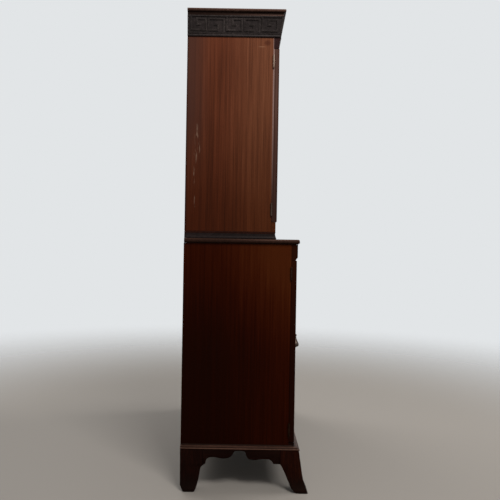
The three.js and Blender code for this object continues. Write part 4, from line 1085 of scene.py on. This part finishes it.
# %% [markdown]
# ## Keyholes and putty
#
# Doors in pairs have one lock, in the door that closes last. Its keyhole has a small cast brass plate.
# The plate's outline and the keyhole are both radii that depend on an angle, so a few rings make it,
# and a black piece behind it, painted shade, shows as the hole. Panes are bedded in a rebate and held
# by a sloping fillet of putty behind them: a triangle carried round a rectangle, hard and brown with age.

# %% Key plates
PLATE_POINTS = 48
PLATE_HALF_WIDTH, PLATE_HALF_HEIGHT, PLATE_THICKNESS = 9 * MM, 15 * MM, 1.4 * MM
KEY_ROUND, KEY_HALF_SLOT, KEY_DROP = 2.5 * MM, 1.3 * MM, 6.5 * MM
RIM = 1.1 * MM
HOLE_SHADE_SHARE, SWELL_SHARE = 0.4, 0.05
ALMOST_ZERO = 1e-6
key_angle = np.linspace(0, 2 * np.pi, PLATE_POINTS, endpoint=False)


def plate_radius(inset):
    """The plate's outline: an oval, whose radius swells a little at its four ends."""
    wide, high = PLATE_HALF_WIDTH - inset, PLATE_HALF_HEIGHT - inset
    oval = 1 / np.hypot(np.cos(key_angle) / wide, np.sin(key_angle) / high)
    return oval * (1 + SWELL_SHARE * np.cos(4 * key_angle))


def keyhole_radius(outset):
    """The keyhole's outline: the larger of a round hole's radius and, downwards, that of a slot."""
    across = (KEY_HALF_SLOT + outset) / np.maximum(np.abs(np.cos(key_angle)), ALMOST_ZERO)
    down = (KEY_DROP + outset) / np.maximum(-np.sin(key_angle), ALMOST_ZERO)
    return np.maximum(KEY_ROUND + outset, np.minimum(across, down) * (np.sin(key_angle) < 0))


def upright_ring(radius, centre, y):
    """Points round a centre in an upright plane, at a radius for each angle."""
    x, z = centre[0] + radius * np.cos(key_angle), centre[1] + radius * np.sin(key_angle)
    return np.stack([x, np.full_like(x, y), z], axis=1)


def key_plate(name, body, face, centre):
    """A brass plate with a bevelled rim round a keyhole, and a black piece in the hole as painted shade."""
    back, front = face - GLUE_GAP, face - GLUE_GAP - PLATE_THICKNESS
    edge, rim, hole = plate_radius(0), plate_radius(RIM), keyhole_radius(0)
    section = [(edge, back), (edge, (back + front) / 2), (rim, front), (hole, front), (hole, back)]
    rings = [upright_ring(radius, centre, y) for radius, y in section]
    add_piece(name, [skin(np.stack(rings), looped=True)], pull_brass, body)
    # The black piece in the keyhole is painted shade, standing for the dark of the hole
    depth = back + (front - back) * HOLE_SHADE_SHARE
    hole_shade = [upright_ring(keyhole_radius(-GLUE_GAP / 3), centre, y) for y in (back, depth)]
    add_piece(name + "_hole_shade", [skin(np.stack(hole_shade))], finish_for("apron_left"), body)


LOCK_HEIGHTS = {"base_door_right": 560 * MM, "glazed_door_right": 1235 * MM}
for door, height in LOCK_HEIGHTS.items():
    low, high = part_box(door + "_frame")
    stile = STILE if door.startswith("base") else GLAZED_STILE
    key_plate(door + "_key_plate", door, low.y, (low.x + stile / 2, height))
print("key plates:", list(LOCK_HEIGHTS))

# %% Putty behind the panes
PUTTY_WIDTH, PUTTY_SHORT, PUTTY_BED = 6 * MM, 0.5 * MM, 0.1 * MM
putty_finish = old_putty()


def upright_rectangle(low, high, inset, y):
    """The four corners of a rectangle in an upright plane, drawn in by an inset."""
    x = [low.x + inset, high.x - inset, high.x - inset, low.x + inset]
    z = [low.z + inset, low.z + inset, high.z - inset, high.z - inset]
    return np.stack([x, np.full(4, y), z], axis=1)


for hand in HANDS:
    door = f"glazed_door_{hand}"
    low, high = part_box(door + "_glass")
    pane_back, door_back = high.y + PUTTY_BED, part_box(door + "_frame")[1].y - PUTTY_SHORT
    section = [(0, pane_back), (PUTTY_WIDTH, pane_back), (0, door_back)]
    rings = np.stack([upright_rectangle(low, high, inset, y) for inset, y in section])
    add_piece(door + "_putty", [skin(rings, looped=True)], putty_finish, door)
print("putty round the panes:", list(HANDS))
